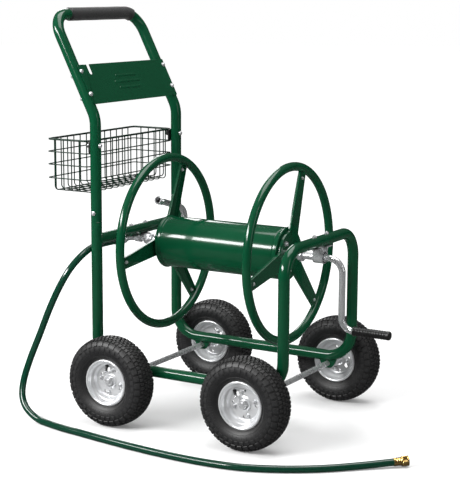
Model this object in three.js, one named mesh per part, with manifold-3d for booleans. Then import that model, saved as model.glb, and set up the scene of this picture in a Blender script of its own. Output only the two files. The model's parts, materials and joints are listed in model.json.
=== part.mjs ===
// Garden hose reel cart: a four-wheel tubular frame with a push handle, a wire
// basket, a crank-turned hose reel and a short leader hose that lies on the ground.
// Millimetres. +X runs along the reel axis from the handle end to the crank end,
// +Y is the rear side, +Z is up and the wheels stand on Z = 0.
import * as THREE from "three";
import { mergeVertices } from "three/addons/utils/BufferGeometryUtils.js";
import Module from "manifold-3d";

const wasm = await Module();
wasm.setup();

// ---- Driving dimensions -------------------------------------------------------

const gap = 0.3; // between pieces that touch
const runningGap = 0.4; // between pieces that turn on each other

// Frame tube and stance
const tubeRadius = 16;
const tubeWall = 1.6;
const legY = 213; // legs and rails stand at plus and minus this
const handleLegX = -316.5;
const crankLegX = 296.5;
const wheelbase = 440;
const frameBendRadius = 80; // leg into rail
const frameCornerRadius = 75; // leg into top bar
const railJointX = 56; // where the two frame halves plug together
const stubLength = 60; // how far a reduced end plugs into its mate

// Wheels
const tyreRadius = 130;
const tyreHalfWidth = 44;
const tyreWall = 5;
const tyreToLeg = 12;
const flangeRadius = 66;
const flangeHalfWidth = 29.5;
const rimWellRadius = 49;
const rimSheet = 3;
const hubRadius = 16.5;
const hubWall = 3.5;
const hubOuterLength = 9; // from the tyre's middle plane outwards
const hubInnerLength = 47; // and inwards, towards the rail
const axleRadius = 8;
const axleUnderRail = 1;
const axleNutHeight = 8;
const axleNutWall = 3.5;
const axlePastNut = 2;
const gussetHalfLength = 34;
const gussetThickness = 4;
const gussetBelowAxle = 14;

// Reel
const reelZ = 494;
const hoopHandleX = -211.5;
const hoopCrankX = 200;
const hoopRadius = 248;
const hoopTubeRadius = 12.7;
const hoopWall = 1.2;
const drumRadius = 75;
const drumWall = 1;
const spokeDepth = 9; // channel depth along the axis
const spokeSheet = 2;
const spokeHubHalfWidth = 25;
const spokeRimHalfWidth = 16;
const hubDiscRadius = 66;
const spokeAnglesHandle = [68, 188, 308]; // degrees from +Y towards +Z
const spokeAnglesCrank = [73, 193, 313];
const journalRadius = 10; // reel shaft on the crank side

// Water path
const pipeRadius = 9.5;
const pipeWall = 1.5;
const inletBehindLeg = 25; // the fixed inlet pipe runs this far outside the legs
const inletBend = 18;
const inletOpenY = -48;
const swivelX = -276; // where the fixed pipe meets the turning one
const swivelHalfLength = 13;
const swivelHexWall = 6.4;
const outletToHoop = 34.5; // from the handle end hoop to the turning outlet pipe
const outletRiseY = 150; // the outlet pipe's corners, from the reel's axis
const outletTopZ = 75;
const outletEndY = 1;
const outletEndZ = 119;
const outletBend = 38;
const collarWall = 3;
const collarLength = 20;

// Crank
const crankTubeRadius = 9.5;
const crankArmX = 366;
const crankThrow = 199;
const crankUpperBend = 40;
const crankLowerBend = 35;
const crankTubeStartX = 313;
const crankGripStartX = 404;
const crankGripLength = 112;
const crankGripWall = 2.3;
const crankGripEndWall = 4;

// Cross members
const crossbarClearance = 0.5; // between the crossbar and the pipe under it
const topBarAboveReel = 46;
const bracketBoltSpacing = 75;
const bracketSheet = 3;
const inletStrapHalf = 10; // half the strap's length along the axis
const crankStrapHalf = 15;

// Push handle
const seamAboveCrossbar = 52;
const handleStubBolt = 25; // bolt above the seam
const kneeAboveSeam = 297;
const kneeRadius = 90;
const handleTilt = THREE.MathUtils.degToRad(27.1); // back from the vertical
const handleReach = 323.5; // knee to top bar along the tilt
const handleCornerRadius = 65;
const handleGripWall = 3;
const handleGripFromBend = 11; // the grip's front end, inside the front bend
const handleGripArc = 30; // how far the grip follows the rear bend
const plateFrom = 35; // along the tilt, from the knee
const plateHeight = 122.5;
const plateSheet = 2;
const plateBoltAboveFoot = 32;
const plateBoltBelowTop = 20;
const notchY = -171;
const notchHalfWidth = 6.5;
const notchDepth = 32;

// Basket
const basketDepth = 139.5; // between the long walls' middles
const basketPastLeg = 8; // how far the end walls stand past the legs' middles
const basketHeight = 151;
const basketWire = 3.5;
const basketRimWire = 6;
const basketRimAboveBolt = 11;
const basketBoltBelowKnee = 78;
const clipThickness = 6.15;
const clipWidth = 20;
const clipHeight = 36;

// Fasteners
const boltRadius = 3;
const boltHeadRadius = 6;
const boltNutRadius = 5.5;
const boltHeadHeight = 4;

// Leader hose: points along its route, in cart coordinates
const hoseRadius = 9.75;
const hoseStep = 56;
const hoseRoute = [
  [-341.5, -86, 494], [-341.5, -110, 494.5], [-341.5, -140, 495], [-341.5, -175, 495],
  [-342.5, -210, 490], [-349, -250, 471], [-363, -280, 440], [-384, -302, 391],
  [-412, -314, 326], [-447, -318, 245], [-478, -328, 165], [-488, -345, 108],
  [-482, -361, 68], [-465, -371, 42], [-437, -379, 23], [-398, -387, 11],
  [-310, -409, 10], [-232, -421, 10], [-155, -433, 10], [-45, -448, 10],
  [57, -457, 10], [183, -459, 10], [295, -444, 10], [392, -404, 10],
  [479, -347, 10], [559, -275, 11], [629, -212, 15],
].map((p) => new THREE.Vector3(...p));
const couplingLength = 38;
const couplingRadius = 14.5;
const tailLength = 16;

// Facets: sides round a piece
const tubeSides = 10;
const pipeSides = 8;
const shaftSides = 16;
const wheelSides = 20;
const rimSides = 14;
const hoopSides = 28;
const hoopSectionSides = 8;

// ---- Places worked out from the dimensions ------------------------------------

const wheelY = legY + tubeRadius + tyreToLeg + tyreHalfWidth;
const axleX = wheelbase / 2;
const axleZ = tyreRadius;
const crossbarZ = reelZ + pipeRadius + crossbarClearance + tubeRadius;
const topBarZ = reelZ + topBarAboveReel;
const handleSeamZ = crossbarZ + seamAboveCrossbar;
const kneeZ = handleSeamZ + kneeAboveSeam;
const basketBoltZ = kneeZ - basketBoltBelowKnee;
const basketRimZ = basketBoltZ + basketRimAboveBolt;
const basketFloorZ = basketRimZ - basketHeight;
const basketHalfY = legY + basketPastLeg;
const basketInnerX = handleLegX - tubeRadius - clipThickness - 2 * gap - basketWire / 2;
const basketOuterX = basketInnerX - basketDepth;
const inletX = handleLegX - inletBehindLeg;
const outletX = hoopHandleX - outletToHoop;
const railZ = axleZ + axleRadius + axleUnderRail + tubeRadius;
const stubRadius = tubeRadius - tubeWall - gap;
const tiltAlong = new THREE.Vector3(-Math.sin(handleTilt), 0, Math.cos(handleTilt));
const crankGripEndX = crankGripStartX + crankGripLength;
const cartMinX = basketOuterX - basketRimWire / 2;
const originX = (cartMinX + crankGripEndX) / 2;

// ---- Materials ----------------------------------------------------------------

const finish = (color, roughness, metalness) =>
  new THREE.MeshStandardMaterial({ color, roughness, metalness });
const green = () => finish(0x144a32, 0.3, 0.1);
const black = () => finish(0x1b1b1c, 0.8, 0);
const zinc = () => finish(0xb9bcbe, 0.35, 0.9);
const chrome = () => finish(0xd8dadc, 0.15, 1);
const silver = () => finish(0xd2d4d6, 0.3, 0.8);
const nylon = () => finish(0x2a2b2c, 0.5, 0);
const brass = () => finish(0xc9a24a, 0.3, 0.9);
const rubber = () => finish(0x202122, 0.9, 0);

// ---- Solid helpers ------------------------------------------------------------

const toSolid = (geometry) => {
  const bare = geometry.clone();
  bare.deleteAttribute("normal");
  bare.deleteAttribute("uv");
  const merged = mergeVertices(bare, 1e-4);
  return new wasm.Manifold(
    new wasm.Mesh({
      numProp: 3,
      vertProperties: merged.attributes.position.array,
      triVerts: new Uint32Array(merged.index.array),
    }),
  );
};

const toGeometry = (solid) => {
  const mesh = solid.getMesh();
  return new THREE.BufferGeometry()
    .setAttribute("position", new THREE.BufferAttribute(mesh.vertProperties, 3))
    .setIndex(new THREE.BufferAttribute(mesh.triVerts, 1));
};

const joined = (geometries) =>
  geometries.map(toSolid).reduce((whole, part) => whole.add(part));

const build = (outers, cuts = []) => {
  let solid = joined(outers);
  if (cuts.length) solid = solid.subtract(joined(cuts));
  return toGeometry(solid);
};

// A radius whose facets' middles, not their corners, lie at r.
const around = (r, sides) => r / Math.cos(Math.PI / sides);

const ringPoints = (r, sides) =>
  Array.from({ length: sides }, (_, i) => {
    const turn = ((i + 0.5) / sides) * 2 * Math.PI;
    return new THREE.Vector2(r * Math.cos(turn), r * Math.sin(turn));
  });

const section = (r, bore, sides) => {
  const shape = new THREE.Shape(ringPoints(r, sides));
  if (bore > 0) shape.holes.push(new THREE.Path(ringPoints(bore, sides).reverse()));
  return shape;
};

// A route of straight runs joined by arcs: section rings fall only where it bends.
class BentPath extends THREE.Curve {
  constructor(corners, bends, bendSteps = 3) {
    super();
    this.stations = [];
    const last = corners.length - 1;
    corners.forEach((corner, i) => {
      const before = i && corner.clone().sub(corners[i - 1]).normalize();
      const after = i < last && corners[i + 1].clone().sub(corner).normalize();
      const radius = Array.isArray(bends) ? bends[i - 1] : bends;
      if (!before || !after || !radius) {
        this.stations.push({ at: corner.clone(), along: (before || after).clone() });
        return;
      }
      const turn = before.angleTo(after);
      const back = radius * Math.tan(turn / 2);
      const start = corner.clone().addScaledVector(before, -back);
      const axis = before.clone().cross(after).normalize();
      const inward = axis.clone().cross(before);
      const centre = start.clone().addScaledVector(inward, radius);
      for (let k = 0; k <= bendSteps; k++) {
        const part = (turn * k) / bendSteps;
        const at = inward.clone().multiplyScalar(-radius).applyAxisAngle(axis, part);
        this.stations.push({
          at: at.add(centre),
          along: before.clone().applyAxisAngle(axis, part),
        });
      }
    });
    this.steps = this.stations.length - 1;
  }
  station(u) {
    return this.stations[Math.round(u * this.steps)];
  }
  getPointAt(u) {
    return this.station(u).at.clone();
  }
  getTangentAt(u) {
    return this.station(u).along.clone();
  }
}

const sweep = (path, r, bore = 0, sides = tubeSides) =>
  new THREE.ExtrudeGeometry(section(r, bore, sides), {
    steps: path.steps,
    bevelEnabled: false,
    extrudePath: path,
  });

const rod = (from, to, r, bore = 0, sides = tubeSides) =>
  sweep(new BentPath([from, to], 0), r, bore, sides);

const vec = (x, y, z) => new THREE.Vector3(x, y, z);

// Turned pieces: profile points are [radius, distance along the axis].
const turned = (profile, sides) =>
  new THREE.LatheGeometry(
    profile.map(([r, along]) => new THREE.Vector2(r, along)),
    sides,
    Math.PI / sides,
  );
const closed = (profile) => [...profile, profile[0]];
const alongX = (geometry) => geometry.rotateZ(-Math.PI / 2);

const cart = new THREE.Group();

const place = (parent, name, geometry, material, position = vec(0, 0, 0)) => {
  const mesh = new THREE.Mesh(geometry, material);
  mesh.name = name;
  mesh.position.copy(position);
  parent.add(mesh);
  return mesh;
};

// A bolt with its nut: the head's underside at 0, the shank to `grip`.
const boltProfile = (grip) => [
  [0, -boltHeadHeight],
  [boltHeadRadius, -boltHeadHeight],
  [boltHeadRadius, 0],
  [boltRadius, 0],
  [boltRadius, grip],
  [boltNutRadius, grip],
  [boltNutRadius, grip + boltHeadHeight],
  [0, grip + boltHeadHeight],
];
const boltSides = 6;
const holeRadius = around(boltRadius + gap, boltSides);
const hole = (from, to) => rod(from, to, holeRadius, 0, boltSides);

// The bolt runs from `head` towards `to`, standing a gap off the surfaces it clamps.
const bolt = (name, head, to) => {
  const along = to.clone().sub(head);
  const grip = along.length() + 2 * gap;
  const mesh = place(cart, name, turned(boltProfile(grip), boltSides), zinc(), head);
  mesh.quaternion.setFromUnitVectors(vec(0, 1, 0), along.clone().normalize());
  mesh.position.addScaledVector(along.normalize(), -gap);
};

const sides = [
  { name: "front", y: -1 },
  { name: "rear", y: 1 },
];
const ends = [
  { name: "handle", x: -1 },
  { name: "crank", x: 1 },
];

// ---- Frame --------------------------------------------------------------------

// A plate under the rail, its top edge let into the tube.
const gusset = (x, y) => {
  const top = railZ - axleZ - tubeRadius / 4;
  const shape = new THREE.Shape([
    new THREE.Vector2(-gussetHalfLength, top),
    new THREE.Vector2(-gussetBelowAxle, -gussetBelowAxle),
    new THREE.Vector2(gussetBelowAxle, -gussetBelowAxle),
    new THREE.Vector2(gussetHalfLength, top),
  ]);
  return new THREE.ExtrudeGeometry(shape, { depth: gussetThickness, bevelEnabled: false })
    .translate(0, 0, -gussetThickness / 2)
    .rotateX(Math.PI / 2)
    .translate(x, y, axleZ);
};

const axleHole = (x) =>
  rod(
    vec(x, -legY - tubeRadius, axleZ),
    vec(x, legY + tubeRadius, axleZ),
    around(axleRadius + gap, shaftSides),
    0,
    shaftSides,
  );

const legBoltHole = (x, z) =>
  hole(vec(x, -legY - 2 * tubeRadius, z), vec(x, legY + 2 * tubeRadius, z));

const boreRadius = tubeRadius - tubeWall;
const stubBore = stubRadius - tubeWall;
const handleBoltZ = handleSeamZ + handleStubBolt;
const railBoltX = railJointX + stubLength / 2;

const legLine = (x, y, z) => vec(x, y * legY, z);

const frameHandleEnd = () => {
  const outers = [];
  const bores = [];
  for (const { y } of sides) {
    const corners = (short) => [
      legLine(railJointX - short, y, railZ),
      legLine(handleLegX, y, railZ),
      legLine(handleLegX, y, handleSeamZ - short),
    ];
    outers.push(sweep(new BentPath(corners(0), frameBendRadius), tubeRadius));
    bores.push(sweep(new BentPath(corners(2), frameBendRadius), boreRadius));
    // Reduced ends that plug into the handle and into the other frame half.
    const neck = (r, back, past) => [
      rod(legLine(handleLegX, y, handleSeamZ - back),
        legLine(handleLegX, y, handleSeamZ + stubLength + past), r),
      rod(legLine(railJointX - back, y, railZ),
        legLine(railJointX + stubLength + past, y, railZ), r),
    ];
    outers.push(...neck(stubRadius, 1, 0), gusset(-axleX, y * legY));
    bores.push(...neck(stubBore, 5, 1));
  }
  // The crossbar is a shade thinner than the legs, so that no faces coincide.
  const bar = (r) =>
    rod(vec(handleLegX, -legY, crossbarZ), vec(handleLegX, legY, crossbarZ), r - 0.2);
  outers.push(bar(tubeRadius));
  bores.push(bar(boreRadius));
  return build(outers, [
    ...bores,
    axleHole(-axleX),
    legBoltHole(handleLegX, handleBoltZ),
    legBoltHole(railBoltX, railZ),
  ]);
};

const frameCrankEnd = () => {
  const corners = (past) => [
    legLine(railJointX + gap - past, -1, railZ),
    legLine(crankLegX, -1, railZ),
    legLine(crankLegX, -1, topBarZ),
    legLine(crankLegX, 1, topBarZ),
    legLine(crankLegX, 1, railZ),
    legLine(railJointX + gap - past, 1, railZ),
  ];
  const bends = [frameBendRadius, frameCornerRadius, frameCornerRadius, frameBendRadius];
  return build(
    [
      sweep(new BentPath(corners(0), bends), tubeRadius),
      gusset(axleX, -legY),
      gusset(axleX, legY),
    ],
    [
      sweep(new BentPath(corners(1), bends), boreRadius),
      axleHole(axleX),
      legBoltHole(railBoltX, railZ),
    ],
  );
};

place(cart, "frame_handle_end", frameHandleEnd(), green());
place(cart, "frame_crank_end", frameCrankEnd(), green());

for (const { name, y } of sides) {
  const across = (x, z) =>
    [tubeRadius, -tubeRadius].map((past) => vec(x, y * (legY + past), z));
  bolt(`handle_bolt_${name}`, ...across(handleLegX, handleBoltZ));
  bolt(`rail_bolt_${name}`, ...across(railBoltX, railZ));
}

// ---- Push handle --------------------------------------------------------------

const tilted = (s, out, y) =>
  vec(
    handleLegX + tiltAlong.x * s + tiltAlong.z * out,
    y,
    kneeZ + tiltAlong.z * s - tiltAlong.x * out,
  );

const plateBolts = [plateFrom + plateBoltAboveFoot, plateFrom + plateHeight - plateBoltBelowTop];

const handleTube = () => {
  const corners = (past) => [
    legLine(handleLegX, -1, handleSeamZ + gap - past),
    legLine(handleLegX, -1, kneeZ),
    tilted(handleReach, 0, -legY),
    tilted(handleReach, 0, legY),
    legLine(handleLegX, 1, kneeZ),
    legLine(handleLegX, 1, handleSeamZ + gap - past),
  ];
  const bends = [kneeRadius, handleCornerRadius, handleCornerRadius, kneeRadius];
  const across = 2 * tubeRadius;
  const holes = [legBoltHole(handleLegX, handleBoltZ)];
  for (const { y } of sides) {
    holes.push(hole(vec(handleLegX - across, y * legY, basketBoltZ),
      vec(handleLegX + across, y * legY, basketBoltZ)));
    for (const s of plateBolts)
      holes.push(hole(tilted(s, -across, y * legY), tilted(s, across, y * legY)));
  }
  return build(
    [sweep(new BentPath(corners(0), bends), tubeRadius)],
    [sweep(new BentPath(corners(1), bends), boreRadius), ...holes],
  );
};
place(cart, "handle_tube", handleTube(), green());

// The foam grip follows the rear bend a little way.
const gripTurn = THREE.MathUtils.degToRad(handleGripArc);
const gripBack = handleCornerRadius * Math.tan(gripTurn / 2);
const gripCornerY = legY - handleCornerRadius + gripBack;
const gripFrontY = handleGripFromBend - (legY - handleCornerRadius);
const gripPath = new BentPath(
  [
    tilted(handleReach, 0, gripFrontY),
    tilted(handleReach, 0, gripCornerY),
    tilted(
      handleReach - gripBack * Math.sin(gripTurn),
      0,
      gripCornerY + gripBack * Math.cos(gripTurn),
    ),
  ],
  handleCornerRadius,
  1,
);
place(
  cart,
  "handle_grip",
  sweep(gripPath, tubeRadius + handleGripWall, around(tubeRadius + gap, tubeSides)),
  black(),
);

// The tool plate lies on the tilted legs: a group whose +Z runs up the legs and
// whose +X stands out of the plate.
const upperHandle = new THREE.Group();
upperHandle.position.set(handleLegX, 0, kneeZ);
upperHandle.rotation.y = -handleTilt;
cart.add(upperHandle);

const plateHalfY = legY + boltHeadRadius + 2;
const toolPlate = () => {
  const top = plateFrom + plateHeight;
  const shape = new THREE.Shape();
  shape.moveTo(-plateHalfY, plateFrom);
  shape.lineTo(plateHalfY, plateFrom);
  shape.lineTo(plateHalfY, top);
  shape.lineTo(notchY + notchHalfWidth, top);
  shape.lineTo(notchY + notchHalfWidth, top - notchDepth + notchHalfWidth);
  shape.absarc(notchY, top - notchDepth + notchHalfWidth, notchHalfWidth, 0, -Math.PI, true);
  shape.lineTo(notchY - notchHalfWidth, top);
  shape.lineTo(-plateHalfY, top);
  shape.closePath();
  for (const { y } of sides)
    for (const s of plateBolts) {
      const ring = ringPoints(boltRadius + gap, 8).reverse();
      shape.holes.push(new THREE.Path(ring.map((p) => p.add(new THREE.Vector2(y * legY, s)))));
    }
  return new THREE.ExtrudeGeometry(shape, {
    depth: plateSheet,
    bevelEnabled: false,
    curveSegments: 6,
  })
    .rotateX(Math.PI / 2)
    .rotateZ(Math.PI / 2);
};
place(upperHandle, "tool_plate", toolPlate(), green(), vec(tubeRadius + gap, 0, 0));

for (const { name, y } of sides)
  plateBolts.forEach((s, i) =>
    bolt(
      `plate_bolt_${name}_${i ? "upper" : "lower"}`,
      tilted(s, tubeRadius + gap + plateSheet, y * legY),
      tilted(s, -tubeRadius, y * legY),
    ),
  );

// ---- Basket -------------------------------------------------------------------

// A flat grille of square wires in the XY plane, with a thicker wire along the top.
// The wires' edges make a grid, and every other row and column of its cells is solid.
const grille = (width, height, columns, rows, wire, topWire = wire) => {
  const edges = (length, count, lastWire) => {
    const list = [];
    for (let i = 0; i < count; i++) {
      const from = ((length - lastWire) * i) / count;
      list.push(from, from + wire);
    }
    return [...list, length - lastWire, length];
  };
  const xs = edges(width, columns, wire);
  const ys = edges(height, rows, topWire);
  const isSolid = (i, j) =>
    i >= 0 && j >= 0 && i < xs.length - 1 && j < ys.length - 1 && (i % 2 === 0 || j % 2 === 0);
  const corners = [];
  const quad = (a, b, c, d) => corners.push(...a, ...b, ...c, ...a, ...c, ...d);
  for (let i = 0; i < xs.length - 1; i++)
    for (let j = 0; j < ys.length - 1; j++) {
      if (!isSolid(i, j)) continue;
      const [x0, x1, y0, y1] = [xs[i], xs[i + 1], ys[j], ys[j + 1]];
      quad([x0, y0, wire], [x1, y0, wire], [x1, y1, wire], [x0, y1, wire]);
      quad([x0, y0, 0], [x0, y1, 0], [x1, y1, 0], [x1, y0, 0]);
      const wall = (ax, ay, bx, by) =>
        quad([ax, ay, 0], [bx, by, 0], [bx, by, wire], [ax, ay, wire]);
      if (!isSolid(i, j - 1)) wall(x0, y0, x1, y0);
      if (!isSolid(i + 1, j)) wall(x1, y0, x1, y1);
      if (!isSolid(i, j + 1)) wall(x1, y1, x0, y1);
      if (!isSolid(i - 1, j)) wall(x0, y1, x0, y0);
    }
  return new THREE.BufferGeometry().setAttribute(
    "position",
    new THREE.Float32BufferAttribute(corners, 3),
  );
};

const wireHalf = basketWire / 2;
const basketWallBase = basketFloorZ + wireHalf + gap;
const basketWallHeight = basketRimZ + basketRimWire / 2 - basketWallBase;
const longWall = () =>
  grille(2 * basketHalfY + basketWire, basketWallHeight, 5, 2, basketWire, basketRimWire)
    .rotateX(Math.PI / 2)
    .rotateZ(Math.PI / 2)
    .translate(-wireHalf, -basketHalfY - wireHalf, 0);
const endWall = () =>
  grille(basketDepth - basketWire - 2 * gap, basketWallHeight, 2, 2, basketWire, basketRimWire)
    .rotateX(Math.PI / 2)
    .translate(wireHalf + gap, wireHalf, 0);
place(cart, "basket_outer_wall", longWall(), green(), vec(basketOuterX, 0, basketWallBase));
place(cart, "basket_inner_wall", longWall(), green(), vec(basketInnerX, 0, basketWallBase));
for (const { name, y } of sides)
  place(cart, `basket_${name}_wall`, endWall(), green(),
    vec(basketOuterX, y * basketHalfY, basketWallBase));
place(
  cart,
  "basket_floor",
  grille(basketDepth + basketWire, 2 * basketHalfY + basketWire, 2, 4, basketWire),
  green(),
  vec(basketOuterX - wireHalf, -basketHalfY - wireHalf, basketFloorZ - wireHalf),
);

// Clips hold the basket's inner wall off the legs.
const clipFrom = handleLegX - tubeRadius - gap;
const clipTo = basketInnerX + wireHalf + gap;
for (const { name, y } of sides) {
  const clip = new THREE.BoxGeometry(clipThickness, clipWidth, clipHeight)
    .translate((clipFrom + clipTo) / 2, y * (legY - clipWidth / 5), basketBoltZ - clipHeight / 6);
  const through = hole(
    vec(clipTo - 1, y * legY, basketBoltZ),
    vec(clipFrom + 1, y * legY, basketBoltZ),
  );
  place(cart, `basket_clip_${name}`, build([clip], [through]), nylon());
  bolt(
    `basket_bolt_${name}`,
    vec(handleLegX + tubeRadius, y * legY, basketBoltZ),
    vec(clipTo, y * legY, basketBoltZ),
  );
}

// ---- Axles and wheels ---------------------------------------------------------

const hubFaceY = wheelY + hubOuterLength + runningGap;
const axleHalfLength = hubFaceY + axleNutHeight + axlePastNut;

const tyreProfile = () => {
  const bead = flangeRadius + 1;
  const half = flangeHalfWidth - 4;
  const w = tyreWall;
  const crown = around(tyreRadius, wheelSides);
  return closed([
    [bead, half - w],
    [bead, half],
    [bead + 32, tyreHalfWidth],
    [crown - 9, tyreHalfWidth - 6],
    [crown, tyreHalfWidth - 19],
    [crown, 19 - tyreHalfWidth],
    [crown - 9, 6 - tyreHalfWidth],
    [bead + 32, -tyreHalfWidth],
    [bead, -half],
    [bead, w - half],
    [bead + 32, w - tyreHalfWidth],
    [crown - 10, 22 - tyreHalfWidth],
    [crown - 10, tyreHalfWidth - 22],
    [bead + 32, tyreHalfWidth - w],
  ]);
};

// Two pressed halves back to back on an offset hub tube; `out` is the outer side.
const rimProfile = (out) => {
  const bore = hubRadius - hubWall;
  const half = (hubLength, side) =>
    [
      [bore, hubLength],
      [hubRadius, hubLength],
      [hubRadius + 2, 2 * rimSheet],
      [rimWellRadius - rimSheet, rimSheet],
      [flangeRadius - rimSheet, flangeHalfWidth],
      [flangeRadius, flangeHalfWidth],
      [flangeRadius, flangeHalfWidth - rimSheet],
      [rimWellRadius, rimSheet],
    ].map(([r, y]) => [r, side * y]);
  const front = half(out > 0 ? hubOuterLength : hubInnerLength, 1);
  const back = half(out > 0 ? hubInnerLength : hubOuterLength, -1);
  return closed([...front, ...back.reverse()]);
};

for (const { name: end, x } of ends) {
  const axle = rod(
    vec(0, -axleHalfLength, 0),
    vec(0, axleHalfLength, 0),
    axleRadius,
    0,
    shaftSides,
  );
  place(cart, `axle_${end}_end`, axle, zinc(), vec(x * axleX, 0, axleZ));

  for (const { name: side, y } of sides) {
    const name = `wheel_${end}_${side}`;
    const wheel = new THREE.Group();
    wheel.position.set(x * axleX, y * wheelY, axleZ);
    cart.add(wheel);
    place(wheel, `${name}_tyre`, turned(tyreProfile().reverse(), wheelSides), rubber());
    place(wheel, `${name}_rim`, turned(rimProfile(y).reverse(), rimSides), silver());
    const bore = around(axleRadius + runningGap, shaftSides);
    const hubFrom = y > 0 ? -hubInnerLength : -hubOuterLength;
    const hubTo = y > 0 ? hubOuterLength : hubInnerLength;
    const bush = turned(
      closed([
        [bore, hubFrom],
        [hubRadius - hubWall - gap, hubFrom],
        [hubRadius - hubWall - gap, hubTo],
        [bore, hubTo],
      ]),
      rimSides,
    );
    place(wheel, `${name}_bush`, bush, nylon());
    const nutBore = around(axleRadius + gap, 6);
    const nut = turned(
      closed([
        [nutBore, 0],
        [nutBore + axleNutWall, 0],
        [nutBore + axleNutWall, axleNutHeight],
        [nutBore, axleNutHeight],
      ]),
      6,
    );
    const outward = y > 0 ? hubFaceY : -hubFaceY - axleNutHeight;
    place(cart, `${name}_nut`, nut, zinc(), vec(x * axleX, outward, axleZ));
  }
}

// ---- Reel ---------------------------------------------------------------------

const reel = new THREE.Group();
reel.position.z = reelZ;
cart.add(reel);

const hoop = () => {
  const ring = (r) =>
    alongX(
      turned(
        closed(ringPoints(r, hoopSectionSides).map((p) => [hoopRadius + p.x, p.y])),
        hoopSides,
      ),
    );
  const vent = rod(vec(0, 0, hoopRadius), vec(0, 0, hoopRadius - 2 * hoopTubeRadius), 2, 0, 6);
  return build([ring(hoopTubeRadius)], [ring(hoopTubeRadius - hoopWall), vent]);
};

// A hub disc with three tapered arms, pressed as a shallow channel that opens inward.
const spiderShape = (angles, inset) => {
  const hub = hubDiscRadius - inset;
  const tip = (hoopRadius - hoopTubeRadius) * Math.cos(Math.PI / hoopSides) - 1 - inset;
  const hubHalf = spokeHubHalfWidth - inset;
  const rimHalf = spokeRimHalfWidth - inset;
  const points = [];
  angles.forEach((degrees, i) => {
    const a = THREE.MathUtils.degToRad(degrees);
    const at = (r, across) =>
      new THREE.Vector2(
        r * Math.cos(a) - across * Math.sin(a),
        r * Math.sin(a) + across * Math.cos(a),
      );
    const root = Math.sqrt(hub * hub - hubHalf * hubHalf);
    const spread = Math.asin(hubHalf / hub);
    points.push(at(root, -hubHalf), at(tip, -rimHalf), at(tip, rimHalf), at(root, hubHalf));
    const next = THREE.MathUtils.degToRad(angles[(i + 1) % 3] + (i === 2 ? 360 : 0));
    const from = a + spread;
    const to = next - spread;
    for (let k = 1; k < 4; k++) {
      const b = from + ((to - from) * k) / 4;
      points.push(new THREE.Vector2(hub * Math.cos(b), hub * Math.sin(b)));
    }
  });
  return new THREE.Shape(points);
};
const spider = (angles, out) => {
  const slab = (inset, depth) =>
    new THREE.ExtrudeGeometry(spiderShape(angles, inset), { depth, bevelEnabled: false })
      .rotateX(Math.PI / 2)
      .rotateZ(Math.PI / 2);
  const pocketDepth = spokeDepth - spokeSheet;
  const shift = out > 0 ? -1 : spokeSheet;
  return build(
    [slab(0, spokeDepth)],
    [slab(spokeSheet, pocketDepth + 1).translate(shift, 0, 0)],
  ).translate(-spokeDepth / 2, 0, 0);
};

place(reel, "reel_hoop_handle_end", hoop(), green(), vec(hoopHandleX, 0, 0));
place(reel, "reel_hoop_crank_end", hoop(), green(), vec(hoopCrankX, 0, 0));
place(reel, "reel_spider_handle_end", spider(spokeAnglesHandle, -1), green(),
  vec(hoopHandleX, 0, 0));
place(reel, "reel_spider_crank_end", spider(spokeAnglesCrank, 1), green(),
  vec(hoopCrankX, 0, 0));

const drumFrom = hoopHandleX + spokeDepth / 2 + gap;
const drumTo = hoopCrankX - spokeDepth / 2 - gap;
const drumLip = 3;
const drum = alongX(
  turned(
    closed([
      [drumRadius - drumWall, drumFrom],
      [drumRadius + drumLip, drumFrom],
      [drumRadius + drumLip, drumFrom + drumLip],
      [drumRadius, drumFrom + 2 * drumLip],
      [drumRadius, drumTo - 2 * drumLip],
      [drumRadius + drumLip, drumTo - drumLip],
      [drumRadius + drumLip, drumTo],
      [drumRadius - drumWall, drumTo],
    ]),
    wheelSides,
  ),
);
place(reel, "reel_drum", drum, green());

// Crank-side shaft: a journal with a spigot that carries the crank.
const shaftFrom = hoopCrankX + spokeDepth / 2 + gap;
const spigotRadius = crankTubeRadius - pipeWall - gap;
const spigotEndX = crankArmX - crankUpperBend - 1;
const crankBoltX = (crankTubeStartX + spigotEndX) / 2;
const shaft = alongX(
  turned(
    [
      [0, shaftFrom],
      [journalRadius, shaftFrom],
      [journalRadius, crankTubeStartX - gap],
      [spigotRadius, crankTubeStartX - gap],
      [spigotRadius, spigotEndX],
      [0, spigotEndX],
    ],
    pipeSides,
  ),
);
const crankBoltHole = () =>
  hole(vec(crankBoltX, -2 * journalRadius, 0), vec(crankBoltX, 2 * journalRadius, 0));
place(reel, "reel_shaft", build([shaft], [crankBoltHole()]), zinc());

// ---- Water path ---------------------------------------------------------------

const pipeBore = pipeRadius - pipeWall;
const inletPath = (past) =>
  new BentPath(
    [
      vec(inletX, inletOpenY - past, reelZ),
      vec(inletX, 0, reelZ),
      vec(swivelX - gap / 2 + past, 0, reelZ),
    ],
    inletBend,
  );
place(
  cart,
  "inlet_pipe",
  build(
    [sweep(inletPath(0), pipeRadius, 0, pipeSides)],
    [sweep(inletPath(1), pipeBore, 0, pipeSides)],
  ),
  chrome(),
);

const swivelBore = around(pipeRadius + runningGap, 6);
place(
  cart,
  "swivel_nut",
  alongX(
    turned(
      closed([
        [swivelBore, -swivelHalfLength],
        [swivelBore + swivelHexWall, -swivelHalfLength],
        [swivelBore + swivelHexWall, swivelHalfLength],
        [swivelBore, swivelHalfLength],
      ]),
      6,
    ),
  ),
  brass(),
  vec(swivelX, 0, reelZ),
);

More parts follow.
